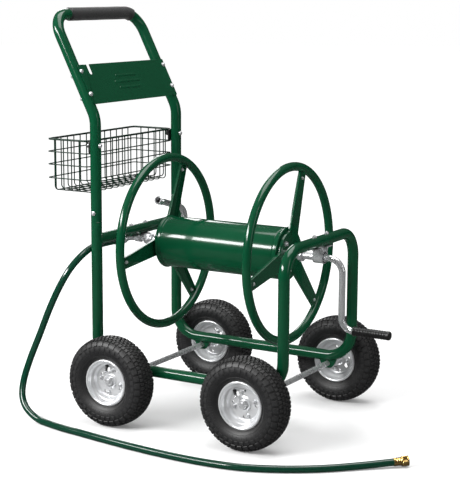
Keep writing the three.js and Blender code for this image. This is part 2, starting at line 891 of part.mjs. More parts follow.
// The turning pipe: along the axis to the hub, with the outlet hooked back over it.
const hubFaceX = hoopHandleX - spokeDepth / 2 - gap;
const outletCorners = [
  vec(outletX, 0, 0),
  vec(outletX, outletRiseY, 0),
  vec(outletX, outletRiseY, outletTopZ),
  vec(outletX, outletEndY, outletEndZ),
];
const outletEnd = outletCorners[3];
const outletAlong = outletEnd.clone().sub(outletCorners[2]).normalize();
const outletSolid = () => {
  const path = (past) =>
    new BentPath(
      [...outletCorners.slice(0, 3), outletEnd.clone().addScaledVector(outletAlong, past)],
      [outletBend, outletBend],
      3,
    );
  const axial = (r, from, to) => rod(vec(from, 0, 0), vec(to, 0, 0), r, 0, pipeSides);
  const collarFrom = outletEnd.clone().addScaledVector(outletAlong, -collarLength);
  return build(
    [
      sweep(path(0), pipeRadius, 0, pipeSides),
      axial(pipeRadius, swivelX + gap / 2, hubFaceX),
      rod(collarFrom, outletEnd, pipeRadius + collarWall, 0, pipeSides),
    ],
    [
      sweep(path(1), pipeBore, 0, pipeSides),
      axial(pipeBore, swivelX - 1, outletX),
    ],
  );
};
place(reel, "outlet_pipe", outletSolid(), chrome());

// ---- Bearings -----------------------------------------------------------------

// A strap bolted under a bar: two ears and a loop that hangs round the shaft.
const strap = (barZ, loopRadius, halfLength) => {
  const earZ = barZ - tubeRadius - gap - reelZ;
  const half = bracketBoltSpacing / 2 + boltHeadRadius + 4;
  const outer = loopRadius + bracketSheet;
  const shape = new THREE.Shape();
  shape.moveTo(half, earZ);
  shape.lineTo(loopRadius, earZ);
  shape.lineTo(loopRadius, 0);
  shape.absarc(0, 0, loopRadius, 0, -Math.PI, true);
  shape.lineTo(-loopRadius, earZ);
  shape.lineTo(-half, earZ);
  shape.lineTo(-half, earZ - bracketSheet);
  shape.lineTo(-outer, earZ - bracketSheet);
  shape.lineTo(-outer, 0);
  shape.absarc(0, 0, outer, -Math.PI, 0, false);
  shape.lineTo(outer, earZ - bracketSheet);
  shape.lineTo(half, earZ - bracketSheet);
  const body = new THREE.ExtrudeGeometry(shape, {
    depth: 2 * halfLength,
    bevelEnabled: false,
    curveSegments: 8,
  })
    .rotateX(Math.PI / 2)
    .rotateZ(Math.PI / 2)
    .translate(-halfLength, 0, 0);
  const screws = [-1, 1].map((k) => {
    const at = (z) => vec(0, (k * bracketBoltSpacing) / 2, z);
    const under = earZ - bracketSheet;
    return rod(at(under - boltHeadHeight), at(under + 1), boltHeadRadius, 0, 6);
  });
  return build([body, ...screws]);
};
const bushOuter = around(journalRadius + runningGap, shaftSides) + 3;
place(cart, "bearing_strap_handle_end", strap(crossbarZ, pipeRadius + gap, inletStrapHalf),
  zinc(), vec(inletX + inletBend + inletStrapHalf + 1, 0, reelZ));
place(cart, "bearing_strap_crank_end", strap(topBarZ, bushOuter + gap, crankStrapHalf),
  zinc(), vec(crankLegX, 0, reelZ));
place(
  cart,
  "crank_end_bush",
  alongX(
    turned(
      closed([
        [around(journalRadius + runningGap, shaftSides), -crankStrapHalf],
        [bushOuter, -crankStrapHalf],
        [bushOuter, crankStrapHalf],
        [around(journalRadius + runningGap, shaftSides), crankStrapHalf],
      ]),
      shaftSides,
    ),
  ),
  nylon(),
  vec(crankLegX, 0, reelZ),
);

// ---- Crank --------------------------------------------------------------------

const crankPath = (past) =>
  new BentPath(
    [
      vec(crankTubeStartX - past, 0, 0),
      vec(crankArmX, 0, 0),
      vec(crankArmX, 0, -crankThrow),
      vec(crankGripEndX - crankGripEndWall - runningGap, 0, -crankThrow),
    ],
    [crankUpperBend, crankLowerBend],
  );
place(
  reel,
  "crank_tube",
  build(
    [sweep(crankPath(0), crankTubeRadius, 0, pipeSides)],
    [
      sweep(crankPath(1), crankTubeRadius - pipeWall, 0, pipeSides),
      crankBoltHole(),
    ],
  ),
  chrome(),
);
bolt(
  "crank_bolt",
  vec(crankBoltX, -crankTubeRadius, reelZ),
  vec(crankBoltX, crankTubeRadius, reelZ),
);

// The grip is a sleeve closed at its outer end that turns on the tube.
const crankGripBore = around(crankTubeRadius + runningGap, rimSides);
const crankGripRadius = crankGripBore + crankGripWall;
place(
  reel,
  "crank_grip",
  alongX(
    turned(
      [
        [0, crankGripEndX - crankGripEndWall],
        [crankGripBore, crankGripEndX - crankGripEndWall],
        [crankGripBore, crankGripStartX],
        [crankGripRadius, crankGripStartX],
        [crankGripRadius, crankGripEndX - 2],
        [crankGripRadius - 2, crankGripEndX],
        [0, crankGripEndX],
      ],
      rimSides,
    ),
  ),
  black(),
  vec(0, 0, -crankThrow),
);

// ---- Leader hose --------------------------------------------------------------

class SmoothRoute extends THREE.CatmullRomCurve3 {
  constructor(points) {
    super(points, false, "centripetal");
    this.steps = Math.round(this.getLength() / hoseStep);
  }
}
const hosePath = new SmoothRoute(hoseRoute);
place(cart, "leader_hose", sweep(hosePath, hoseRadius, 0, pipeSides), rubber());

// Couplings sit on the hose's two ends, in line with it.
const along = (position, direction, geometry, name, material) => {
  const mesh = place(cart, name, geometry, material, position);
  mesh.quaternion.setFromUnitVectors(vec(0, 1, 0), direction);
};
const hoseStart = hoseRoute[0];
const inletCouplingLength = hoseStart.distanceTo(vec(inletX, inletOpenY, reelZ)) - 2 * gap;
along(
  hoseStart.clone().add(vec(0, gap, 0)),
  vec(0, 1, 0),
  turned(
    [
      [0, 0],
      [couplingRadius, 0],
      [couplingRadius, inletCouplingLength],
      [0, inletCouplingLength],
    ],
    6,
  ),
  "inlet_coupling",
  zinc(),
);
const hoseEnd = hoseRoute[hoseRoute.length - 1];
const endAlong = hosePath.getTangentAt(1);
along(
  hoseEnd.clone().addScaledVector(endAlong, gap),
  endAlong,
  turned(
    [
      [0, 0],
      [hoseRadius + 1.5, 0],
      [hoseRadius + 1.5, tailLength],
      [0, tailLength],
    ],
    pipeSides,
  ),
  "hose_end_tail",
  brass(),
);
along(
  hoseEnd.clone().addScaledVector(endAlong, tailLength + 2 * gap),
  endAlong,
  turned(
    [
      [0, 0],
      [couplingRadius, 0],
      [couplingRadius, couplingLength - tailLength],
      [couplingRadius - 3, couplingLength - tailLength],
      [couplingRadius - 3, 6],
      [0, 6],
    ],
    rimSides,
  ),
  "hose_end_nut",
  brass(),
);

// ---- Place the cart's frame under the middle of its box -----------------------

cart.position.x = -originX;

const model = new THREE.Group();
model.add(cart);
export default model;
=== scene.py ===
# Garden hose reel cart: the looks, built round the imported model.
# Shapes are worked out in millimetres in the model's own frame and turned to metres
# when each mesh is made.
import bpy
import bmesh
import json
import numpy as np
from mathutils import Matrix, Vector


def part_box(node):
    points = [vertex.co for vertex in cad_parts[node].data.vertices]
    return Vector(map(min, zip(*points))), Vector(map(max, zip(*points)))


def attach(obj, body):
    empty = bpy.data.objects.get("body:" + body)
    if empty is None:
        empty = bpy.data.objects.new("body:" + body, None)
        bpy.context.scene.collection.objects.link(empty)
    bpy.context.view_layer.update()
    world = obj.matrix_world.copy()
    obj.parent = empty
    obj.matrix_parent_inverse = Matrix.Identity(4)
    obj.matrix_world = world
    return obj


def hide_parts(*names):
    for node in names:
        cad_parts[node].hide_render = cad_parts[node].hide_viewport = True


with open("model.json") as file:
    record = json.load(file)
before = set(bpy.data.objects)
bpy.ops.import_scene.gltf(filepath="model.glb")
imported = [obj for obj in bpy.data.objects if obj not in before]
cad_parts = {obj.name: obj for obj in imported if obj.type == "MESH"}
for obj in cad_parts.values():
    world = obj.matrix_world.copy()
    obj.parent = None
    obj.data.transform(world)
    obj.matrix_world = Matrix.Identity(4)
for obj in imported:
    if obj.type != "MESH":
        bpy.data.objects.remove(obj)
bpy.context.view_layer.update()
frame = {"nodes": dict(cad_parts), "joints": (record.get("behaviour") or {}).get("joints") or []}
joints = {j["name"]: np.array(j["pos_m"]) * 1000 for j in frame["joints"]}
mm = 0.001
pi = np.pi
alongX = np.array([1.0, 0, 0])
alongY = np.array([0, 1.0, 0])
alongZ = np.array([0, 0, 1.0])
print("frame loaded:", len(frame["nodes"]), "nodes")


def lowOf(node):
    return np.array(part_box(node)[0]) / mm


def highOf(node):
    return np.array(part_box(node)[1]) / mm


def middleOf(node):
    return (lowOf(node) + highOf(node)) / 2


tubeRadius = 16.0
gap = 0.3  # clear air between fixed parts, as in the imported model
sunk = 0.4  # how far a bolt's head and nut sit into a tube's round
handleLegX, legY, handleBoltZ = middleOf("handle_bolt_rear")
handleSeamZ = handleBoltZ - 25
crankLegX = middleOf("bearing_strap_crank_end")[0]
railBoltX, railZ = middleOf("rail_bolt_rear")[[0, 2]]
railJointX = railBoltX - 30
crossbarZ = highOf("bearing_strap_handle_end")[2] + gap + tubeRadius
topBarZ = highOf("bearing_strap_crank_end")[2] + gap + tubeRadius
reelZ = joints["reel_spin"][2]
axleZ = joints["wheel_crank_rear_spin"][2]
hoopX = {end: middleOf(f"reel_hoop_{end}_end")[0] for end in ("handle", "crank")}


def addObject(name, data):
    made = bpy.data.objects.new(name, data)
    bpy.context.scene.collection.objects.link(made)
    return made


def makeCamera():
    place = dict(eye=(2.07785, -3.5716, 1.245), azimuth=30.34, elevation=10.23, roll=0.265)
    lens = dict(focal=106.15, sensor=36.0)
    a, e, r = np.radians([place["azimuth"], place["elevation"], place["roll"]])
    back = np.array([np.sin(a) * np.cos(e), -np.cos(a) * np.cos(e), np.sin(e)])
    flat = np.array([np.cos(a), np.sin(a), 0.0])
    tall = np.cross(back, flat)
    right = flat * np.cos(r) + tall * np.sin(r)
    up = np.cross(back, right)
    data = bpy.data.cameras.new("camera")
    data.lens, data.sensor_width = lens["focal"], lens["sensor"]
    data.clip_end = 60
    camera = addObject("camera", data)
    turn = Matrix((right, up, back)).transposed().to_4x4()
    camera.matrix_world = Matrix.Translation(place["eye"]) @ turn
    bpy.context.scene.camera = camera


makeCamera()


def unit(v):
    return v / np.maximum(np.linalg.norm(v, axis=-1, keepdims=True), 1e-12)


# How far along a line each of its points is.
def distances(line):
    return np.concatenate([[0], np.cumsum(np.linalg.norm(np.diff(line, axis=0), axis=1))])


# Directions across an axis at even steps round it.
def roundAxis(axis, sides):
    side = unit(np.cross(axis, alongZ if abs(axis[2]) < 0.9 else alongX))
    turn = np.linspace(0, 2 * pi, sides, endpoint=False)[:, None]
    return np.cos(turn) * side + np.sin(turn) * np.cross(axis, side)


# Rows of rings joined by quads: points[i, j] is point j of ring i. Flat caps shut the ends.
def ringGrid(points, closed=False, capped=True):
    rows, count = points.shape[:2]
    i = np.arange(rows if closed else rows - 1)[:, None]
    j = np.arange(count)[None, :]
    after, beside = (i + 1) % rows, (j + 1) % count
    faces = np.stack([i * count + j, i * count + beside, after * count + beside,
                      after * count + j], -1).reshape(-1, 4).tolist()
    if capped and not closed:
        faces.append(list(range(count))[::-1])
        faces.append(list(range((rows - 1) * count, rows * count)))
    return points.reshape(-1, 3), faces


# Two directions across a path, carried along it: each side is the last one less its share along
# the path, and the other is the path's own direction crossed with that side.
def carried(path, closed=False):
    ahead = np.roll(path, -1, 0) - path
    behind = np.roll(ahead, 1, 0)
    if not closed:
        ahead[-1], behind[0] = behind[-1], ahead[0]
    along = unit(unit(ahead) + unit(behind))
    side = np.empty_like(along)
    start = alongZ if abs(along[0][2]) < 0.9 else alongX
    side[0] = unit(np.cross(along[0], start))
    for k in range(1, len(path)):
        side[k] = unit(side[k - 1] - along[k] * side[k - 1].dot(along[k]))
    return side, np.cross(along, side)


# A circle of the given radius carried along a path.
def tube(path, radius, sides=28, closed=False):
    path = np.asarray(path, float)
    side, up = carried(path, closed)
    turn = np.linspace(0, 2 * pi, sides, endpoint=False)[None, :, None]
    reach = np.broadcast_to(radius, (len(path),))[:, None, None]
    ring = np.cos(turn) * side[:, None] + np.sin(turn) * up[:, None]
    return ringGrid(path[:, None] + ring * reach, closed)


# Straight runs joined by arcs. An arc starts radius times the tangent of half its turn before the
# corner, then adds radius (1 - cos) inward and radius sin ahead, about every step degrees.
def bent(corners, bends, step=5.0):
    corners = np.asarray(corners, float)
    points = [corners[:1]]
    bends = np.broadcast_to(bends, (len(corners) - 2,))
    for before, corner, after, radius in zip(corners, corners[1:], corners[2:], bends):
        a, b = unit(corner - before), unit(after - corner)
        turn = np.arccos(np.clip(a.dot(b), -1, 1))
        start = corner - a * radius * np.tan(turn / 2)
        inward = unit(b - a * a.dot(b))
        swing = np.linspace(0, turn, max(2, int(np.degrees(turn) / step) + 1))[:, None]
        points.append(start + inward * radius * (1 - np.cos(swing)) + a * radius * np.sin(swing))
    points.append(corners[-1:])
    return np.concatenate(points)


# Corners rounded with a parabola from radius before each corner to radius after it.
def softened(points, radius, steps=4, closed=False):
    points = np.asarray(points, float)
    radius = np.broadcast_to(radius, (len(points),))[:, None]
    before, after = np.roll(points, 1, 0) - points, np.roll(points, -1, 0) - points
    reach = [np.minimum(radius, 0.49 * np.linalg.norm(v, axis=1, keepdims=True))
             for v in (before, after)]
    a, b = points + unit(before) * reach[0], points + unit(after) * reach[1]
    t = np.linspace(0, 1, steps + 1)[None, :, None]
    arcs = a[:, None] * (1 - t) ** 2 + points[:, None] * 2 * t * (1 - t) + b[:, None] * t ** 2
    if closed:
        return arcs.reshape(-1, points.shape[1])
    return np.concatenate([points[:1], arcs[1:-1].reshape(-1, points.shape[1]), points[-1:]])


# A profile of (radius, distance along) turned about an axis: outward where distance grows.
def turned(profile, origin, axis=alongX, sides=64, closed=False):
    profile = np.asarray(profile, float)
    axis = unit(np.asarray(axis, float))
    points = np.asarray(origin, float) + roundAxis(axis, sides) * profile[:, :1, None]
    return ringGrid(points + axis * profile[:, 1:, None], closed, capped=not closed)


# A solid disc, or a prism of a few sides, from start to end along an axis, its edges softened.
def barrel(radius, start, end, origin, axis=alongX, edge=0.8, sides=40):
    return turned(softened([(0, start), (radius, start), (radius, end), (0, end)], edge),
                  origin, axis, sides)


# A closed outline moved inwards along the mean of its two edges' normals.
def inset(outline, by):
    edge = unit(np.roll(outline, -1, 0) - outline)
    normal = np.stack([-edge[:, 1], edge[:, 0]], 1)
    mean = normal + np.roll(normal, 1, 0)
    return outline + mean * 2 * by / np.maximum((mean ** 2).sum(1, keepdims=True), 0.8)


# Copies of an outline, each moved in by levels[0] and raised by levels[1], joined and capped. A
# fan cap runs to the origin, which has to see the whole outline.
def slab(outline, levels, origin, across, upward, fan=False):
    origin, across, upward = (np.asarray(v, float) for v in (origin, across, upward))
    out = np.cross(across, upward)
    rings = [origin + o[:, :1] * across + o[:, 1:] * upward + out * height
             for o, height in ((inset(outline, by), height) for by, height in levels)]
    if fan:
        ends = [np.broadcast_to(origin + out * levels[k][1], rings[0].shape) for k in (0, -1)]
        rings = [ends[0], *rings, ends[1]]
    return ringGrid(np.stack(rings), capped=not fan)


# A flat sheet with softened edges. A margin adds a loop inside each face, to keep the edge's
# shading near the edge.
def plate(outline, thickness, edge, origin, across, upward, margin=0):
    levels = [(edge, 0), (0, edge), (0, thickness - edge), (edge, thickness)]
    if margin:
        levels = [(edge + margin, 0), *levels, (edge + margin, thickness)]
    return slab(outline, levels, origin, across, upward)


# A sheet's profile: the line moved half the thickness each way and joined into a loop.
def thickened(line, thickness):
    along = unit(np.gradient(line, axis=0))
    normal = np.stack([along[:, 1], -along[:, 0]], 1) * thickness / 2
    return np.concatenate([line + normal, (line - normal)[::-1]])


def moved(shape, by):
    return shape[0] + np.asarray(by, float), shape[1]


# Points turned about an axis through a centre (Rodrigues' formula).
def rolled(shape, centre, axis, angle):
    v = shape[0] - centre
    axis = np.asarray(axis, float)
    turnedPoints = (v * np.cos(angle) + np.cross(axis, v) * np.sin(angle)
                    + axis * (v @ axis)[:, None] * (1 - np.cos(angle)))
    return turnedPoints + centre, shape[1]


# One mesh made of several shapes, their points scaled.
def joinedMesh(name, shapes, scale=1.0):
    points, faces, offset = [], [], 0
    for verts, quads in shapes:
        points.append(verts)
        faces += [[k + offset for k in face] for face in quads]
        offset += len(verts)
    mesh = bpy.data.meshes.new(name)
    mesh.from_pydata((np.concatenate(points) * scale).tolist(), [], faces)
    return mesh


# Joins shapes into one mesh, in metres, hangs it under its body's empty and hides the parts that
# it replaces.
def addPiece(name, shapes, material, body, replaces=(), crease=32, attribute=None):
    mesh = joinedMesh(name, shapes, mm)
    if attribute is not None:
        layer = mesh.attributes.new("lay", "FLOAT_VECTOR", "POINT")
        layer.data.foreach_set("vector", np.ascontiguousarray(attribute, np.float32).ravel())
    work = bmesh.new()
    work.from_mesh(mesh)
    bmesh.ops.remove_doubles(work, verts=work.verts, dist=1e-6)
    work.to_mesh(mesh)
    work.free()
    mesh.shade_smooth()
    mesh.set_sharp_from_angle(angle=np.radians(crease))
    mesh.materials.append(material)
    piece = addObject(name, mesh)
    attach(piece, body)
    if replaces:
        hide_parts(*replaces)
    return piece


def makeGroup(name, inputs, outputs):
    group = bpy.data.node_groups.new(name, "ShaderNodeTree")
    for label, kind, value in inputs:
        socket = group.interface.new_socket(label, in_out="INPUT", socket_type=kind)
        if value is not None:
            socket.default_value = value
    for label, kind in outputs:
        group.interface.new_socket(label, in_out="OUTPUT", socket_type=kind)
    return group, group.nodes.new("NodeGroupInput"), group.nodes.new("NodeGroupOutput")


def link(tree, a, b):
    tree.links.new(a, b)


def mathNode(tree, operation, a, b=None, clamp=False):
    node = tree.nodes.new("ShaderNodeMath")
    node.operation, node.use_clamp = operation, clamp
    for socket, value in zip(node.inputs, (a, b)):
        if value is None:
            continue
        if isinstance(value, (int, float)):
            socket.default_value = value
        else:
            link(tree, value, socket)
    return node.outputs[0]


def noiseNode(tree, vector, scale, detail=3.0, rough=0.5):
    node = tree.nodes.new("ShaderNodeTexNoise")
    node.inputs["Detail"].default_value = detail
    node.inputs["Roughness"].default_value = rough
    link(tree, vector, node.inputs["Vector"])
    if isinstance(scale, (int, float)):
        node.inputs["Scale"].default_value = scale
    else:
        link(tree, scale, node.inputs["Scale"])
    return node.outputs["Fac"]


def mixColour(tree, factor, a, b, blend="MIX"):
    node = tree.nodes.new("ShaderNodeMix")
    node.data_type, node.blend_type = "RGBA", blend
    for socket, value in zip((node.inputs["Factor"], node.inputs[6], node.inputs[7]),
                             (factor, a, b)):
        if isinstance(value, (int, float)):
            socket.default_value = value
        elif isinstance(value, tuple):
            socket.default_value = (*value, 1.0)
        else:
            link(tree, value, socket)
    return node.outputs[2]


# Edge wear: how far a point stands out of its surroundings, broken up by noise.
def makeWearGroup():
    group, given, out = makeGroup(
        "edgeWear",
        [("Vector", "NodeSocketVector", None), ("Amount", "NodeSocketFloat", 0.5)],
        [("Mask", "NodeSocketFloat")])
    shape = group.nodes.new("ShaderNodeNewGeometry")
    proud = mathNode(group, "MULTIPLY", mathNode(
        group, "SUBTRACT", shape.outputs["Pointiness"], 0.53), 9.0, clamp=True)
    broken = noiseNode(group, given.outputs["Vector"], 60.0, 4.0)
    mask = mathNode(group, "MULTIPLY", proud, mathNode(
        group, "MULTIPLY", broken, given.outputs["Amount"]), clamp=True)
    link(group, mask, out.inputs["Mask"])
    return group


# Two scales of noise blended into one even, slow variation about a half.
def makeMottleGroup():
    group, given, out = makeGroup(
        "mottle",
        [("Vector", "NodeSocketVector", None), ("Scale", "NodeSocketFloat", 20.0)],
        [("Value", "NodeSocketFloat"), ("Fine", "NodeSocketFloat")])
    coarse = noiseNode(group, given.outputs["Vector"], given.outputs["Scale"], 3.0)
    finer = mathNode(group, "MULTIPLY", given.outputs["Scale"], 12.0)
    fine = noiseNode(group, given.outputs["Vector"], finer, 2.0)
    mixed = mathNode(group, "ADD", mathNode(group, "MULTIPLY", coarse, 0.7),
                     mathNode(group, "MULTIPLY", fine, 0.3))
    link(group, mixed, out.inputs["Value"])
    link(group, fine, out.inputs["Fine"])
    return group


# Dust lies on faces that look up, low on the cart, where noise lets it.
def makeDustGroup():
    group, given, out = makeGroup(
        "dust",
        [("Vector", "NodeSocketVector", None), ("Top", "NodeSocketFloat", 0.3)],
        [("Mask", "NodeSocketFloat")])
    shape = group.nodes.new("ShaderNodeNewGeometry")
    normal = group.nodes.new("ShaderNodeSeparateXYZ")
    place = group.nodes.new("ShaderNodeSeparateXYZ")
    link(group, shape.outputs["Normal"], normal.inputs[0])
    link(group, given.outputs["Vector"], place.inputs[0])
    height = mathNode(group, "DIVIDE", place.outputs["Z"], given.outputs["Top"])
    lowDown = mathNode(group, "SUBTRACT", 1.0, height, clamp=True)
    upward = mathNode(group, "MULTIPLY", normal.outputs["Z"], 0.7, clamp=True)
    grain = noiseNode(group, given.outputs["Vector"], 38.0, 5.0, 0.65)
    mask = mathNode(group, "MULTIPLY", mathNode(group, "MULTIPLY", lowDown, upward), grain)
    link(group, mask, out.inputs["Mask"])
    return group


wearGroup = makeWearGroup()
mottleGroup = makeMottleGroup()
dustGroup = makeDustGroup()


def place(tree, group, vector, **values):
    node = tree.nodes.new("ShaderNodeGroup")
    node.node_tree = group
    link(tree, vector, node.inputs["Vector"])
    for label, value in values.items():
        node.inputs[label].default_value = value
    return node.outputs


# A value taken from one range to another.
def ranged(tree, value, toLow, toHigh, fromLow=0.0, fromHigh=1.0):
    node = tree.nodes.new("ShaderNodeMapRange")
    for label, bound in (("From Min", fromLow), ("From Max", fromHigh), ("To Min", toLow),
                         ("To Max", toHigh)):
        node.inputs[label].default_value = bound
    link(tree, value, node.inputs["Value"])
    return node.outputs[0]


def bump(tree, height, strength, distance):
    node = tree.nodes.new("ShaderNodeBump")
    node.inputs["Strength"].default_value = strength
    node.inputs["Distance"].default_value = distance
    link(tree, height, node.inputs["Height"])
    return node.outputs[0]


def newMaterial(name):
    material = bpy.data.materials.new(name)
    material.use_nodes = True
    return material, material.node_tree, material.node_tree.nodes["Principled BSDF"]


dustColour = (0.35, 0.33, 0.30)


# One finish: a mottled colour, edge wear, dust low down, a roughness range and a grain bump.
def finish(name, look):
    material, tree, shader = newMaterial(name)
    vector = tree.nodes.new("ShaderNodeTexCoord").outputs["Object"]
    mottle = place(tree, mottleGroup, vector, Scale=look.get("mottle", 18.0))
    colour = mixColour(tree, mottle["Value"], look["dark"], look["light"])
    if look.get("wear"):
        worn = place(tree, wearGroup, vector, Amount=look["wear"])["Mask"]
        colour = mixColour(tree, worn, colour, look["worn"])
    if look.get("dust"):
        dusty = place(tree, dustGroup, vector, Top=look.get("dustTop", 0.3))["Mask"]
        amount = mathNode(tree, "MULTIPLY", dusty, look["dust"], clamp=True)
        colour = mixColour(tree, amount, colour, dustColour)
    link(tree, colour, shader.inputs["Base Color"])
    link(tree, ranged(tree, mottle["Value"], *look["rough"]), shader.inputs["Roughness"])
    shader.inputs["Metallic"].default_value = look.get("metal", 0.0)
    shader.inputs["Coat Weight"].default_value = look.get("coat", 0.0)
    shader.inputs["Coat Roughness"].default_value = look.get("coatRough", 0.05)
    shader.inputs["Specular IOR Level"].default_value = look.get("specular", 0.5)
    if look.get("sheen"):
        shader.inputs["Sheen Weight"].default_value = look["sheen"]
        shader.inputs["Sheen Roughness"].default_value = 0.5
    grain = look.get("grain")
    if grain:
        pattern = noiseNode(tree, vector, grain["scale"], 2.0)
        if grain.get("cells"):
            cells = tree.nodes.new("ShaderNodeTexVoronoi")
            cells.inputs["Scale"].default_value = grain["scale"]
            link(tree, vector, cells.inputs["Vector"])
            pattern = cells.outputs["Distance"]
        normal = bump(tree, pattern, grain["strength"], grain["depth"])
        link(tree, normal, shader.inputs["Normal"])
    return material


looks = dict(
    powderGreen=dict(dark=(0.0012, 0.045, 0.017), light=(0.0025, 0.057, 0.024), mottle=9.0,
                     rough=(0.13, 0.2), coat=0.3, coatRough=0.05, specular=0.3, wear=0.2,
                     worn=(0.03, 0.16, 0.09), dust=0.1,
                     grain=dict(scale=420.0, strength=0.06, depth=0.0003)),
    wireGreen=dict(dark=(0.001, 0.012, 0.006), light=(0.002, 0.022, 0.011), mottle=30.0,
                   rough=(0.3, 0.42), specular=0.3, wear=0.2,
                   worn=(0.03, 0.12, 0.07),
                   grain=dict(scale=700.0, strength=0.15, depth=0.0003)),
    foamBlack=dict(dark=(0.007, 0.007, 0.0075), light=(0.015, 0.0145, 0.015), mottle=60.0,
                   rough=(0.5, 0.62), sheen=0.15, wear=0.3, worn=(0.05, 0.05, 0.05),
                   grain=dict(scale=1100.0, strength=0.55, depth=0.0006, cells=True)),
    gripBlack=dict(dark=(0.006, 0.006, 0.006), light=(0.014, 0.014, 0.014), mottle=40.0,
                   rough=(0.28, 0.4), wear=0.4, worn=(0.05, 0.05, 0.05),
                   grain=dict(scale=900.0, strength=0.15, depth=0.0003)),
    zincPlate=dict(dark=(0.56, 0.57, 0.59), light=(0.86, 0.87, 0.88), mottle=55.0,
                   rough=(0.2, 0.36), metal=0.72, wear=0.4, worn=(0.9, 0.9, 0.9), dust=0.3,
                   grain=dict(scale=650.0, strength=0.12, depth=0.0003)),
    chrome=dict(dark=(0.74, 0.75, 0.77), light=(0.88, 0.89, 0.9), mottle=25.0,
                rough=(0.05, 0.12), metal=0.76, wear=0.2, worn=(0.95, 0.95, 0.95),
                grain=dict(scale=300.0, strength=0.04, depth=0.0003)),
    rimSilver=dict(dark=(0.62, 0.63, 0.65), light=(0.93, 0.94, 0.95), mottle=48.0,
                   rough=(0.14, 0.32), metal=0.56, wear=0.3, worn=(0.97, 0.97, 0.97), dust=0.25,
                   grain=dict(scale=140.0, strength=0.25, depth=0.0006)),
    tyreRubber=dict(dark=(0.0065, 0.0065, 0.007), light=(0.016, 0.016, 0.017), mottle=34.0,
                    rough=(0.4, 0.56), wear=0.5, worn=(0.045, 0.045, 0.045), dust=0.16,
                    dustTop=0.42, grain=dict(scale=800.0, strength=0.25, depth=0.0004)),
    nylonBlack=dict(dark=(0.006, 0.006, 0.006), light=(0.014, 0.014, 0.015), mottle=60.0,
                    rough=(0.35, 0.5), wear=0.3, worn=(0.05, 0.05, 0.05),
                    grain=dict(scale=900.0, strength=0.2, depth=0.0003)),
    brass=dict(dark=(0.62, 0.38, 0.10), light=(0.86, 0.60, 0.24), mottle=90.0,
               rough=(0.16, 0.3), metal=1.0, wear=0.4, worn=(0.95, 0.8, 0.5),
               grain=dict(scale=900.0, strength=0.1, depth=0.0002)),
)
finishes = {name: finish(name, look) for name, look in looks.items()}


# Glossy extruded hose: fine ribs run along it and a faint braid shows through, on its own lay.
def makeHoseFinish():
    look = dict(dark=(0.0017, 0.030, 0.0155), light=(0.0024, 0.036, 0.019),
                ribs=24.0, braid=150.0, strands=8, rough=(0.12, 0.2), coat=0.4)
    material, tree, shader = newMaterial("hoseGreen")
    lay = tree.nodes.new("ShaderNodeAttribute")
    lay.attribute_name = "lay"
    parts = tree.nodes.new("ShaderNodeSeparateXYZ")
    link(tree, lay.outputs["Vector"], parts.inputs[0])
    around, along = parts.outputs["X"], parts.outputs["Y"]
    braid = None
    for way in (1.0, -1.0):
        wound = mathNode(tree, "MULTIPLY", around, look["strands"] * way)
        turn = mathNode(tree, "ADD", wound, mathNode(tree, "MULTIPLY", along, look["braid"]))
        wave = mathNode(tree, "SINE", turn)
        braid = wave if braid is None else mathNode(tree, "MAXIMUM", braid, wave)
    mask = mathNode(tree, "MULTIPLY", mathNode(tree, "ADD", braid, 1.0), 0.5)
    colour = mixColour(tree, mask, look["dark"], look["light"])
    link(tree, colour, shader.inputs["Base Color"])
    ribs = mathNode(tree, "SINE", mathNode(tree, "MULTIPLY", around, look["ribs"]))
    link(tree, bump(tree, ribs, 0.12, 0.0003), shader.inputs["Normal"])
    vector = tree.nodes.new("ShaderNodeTexCoord").outputs["Object"]
    mottle = place(tree, mottleGroup, vector, Scale=12.0)
    link(tree, ranged(tree, mottle["Value"], *look["rough"]), shader.inputs["Roughness"])
    shader.inputs["Coat Weight"].default_value = look["coat"]
    shader.inputs["Coat Roughness"].default_value = 0.06
    shader.inputs["Specular IOR Level"].default_value = 0.4
    return material


hoseGreen = makeHoseFinish()
print("materials made:", len(finishes) + 1)


hose = dict(radius=9.75, sides=24, stepsPerSpan=14, inletX=-341.5)
# Points along its route in the cart's own frame, in metres.
hoseRoute = np.array([
    (-0.3415, -0.086, 0.494), (-0.3415, -0.110, 0.4945), (-0.3415, -0.140, 0.495),
    (-0.3415, -0.175, 0.495), (-0.3425, -0.210, 0.490), (-0.349, -0.250, 0.471),
    (-0.363, -0.280, 0.440), (-0.384, -0.302, 0.391), (-0.412, -0.314, 0.326),
    (-0.447, -0.318, 0.245), (-0.478, -0.328, 0.165), (-0.488, -0.345, 0.108),
    (-0.482, -0.361, 0.068), (-0.465, -0.371, 0.042), (-0.437, -0.379, 0.023),
    (-0.398, -0.387, 0.011), (-0.310, -0.409, 0.010), (-0.232, -0.421, 0.010),
    (-0.155, -0.433, 0.010), (-0.045, -0.448, 0.010), (0.057, -0.457, 0.010),
    (0.183, -0.459, 0.010), (0.295, -0.444, 0.010), (0.392, -0.404, 0.010),
    (0.479, -0.347, 0.010), (0.559, -0.275, 0.011), (0.629, -0.212, 0.015),
])


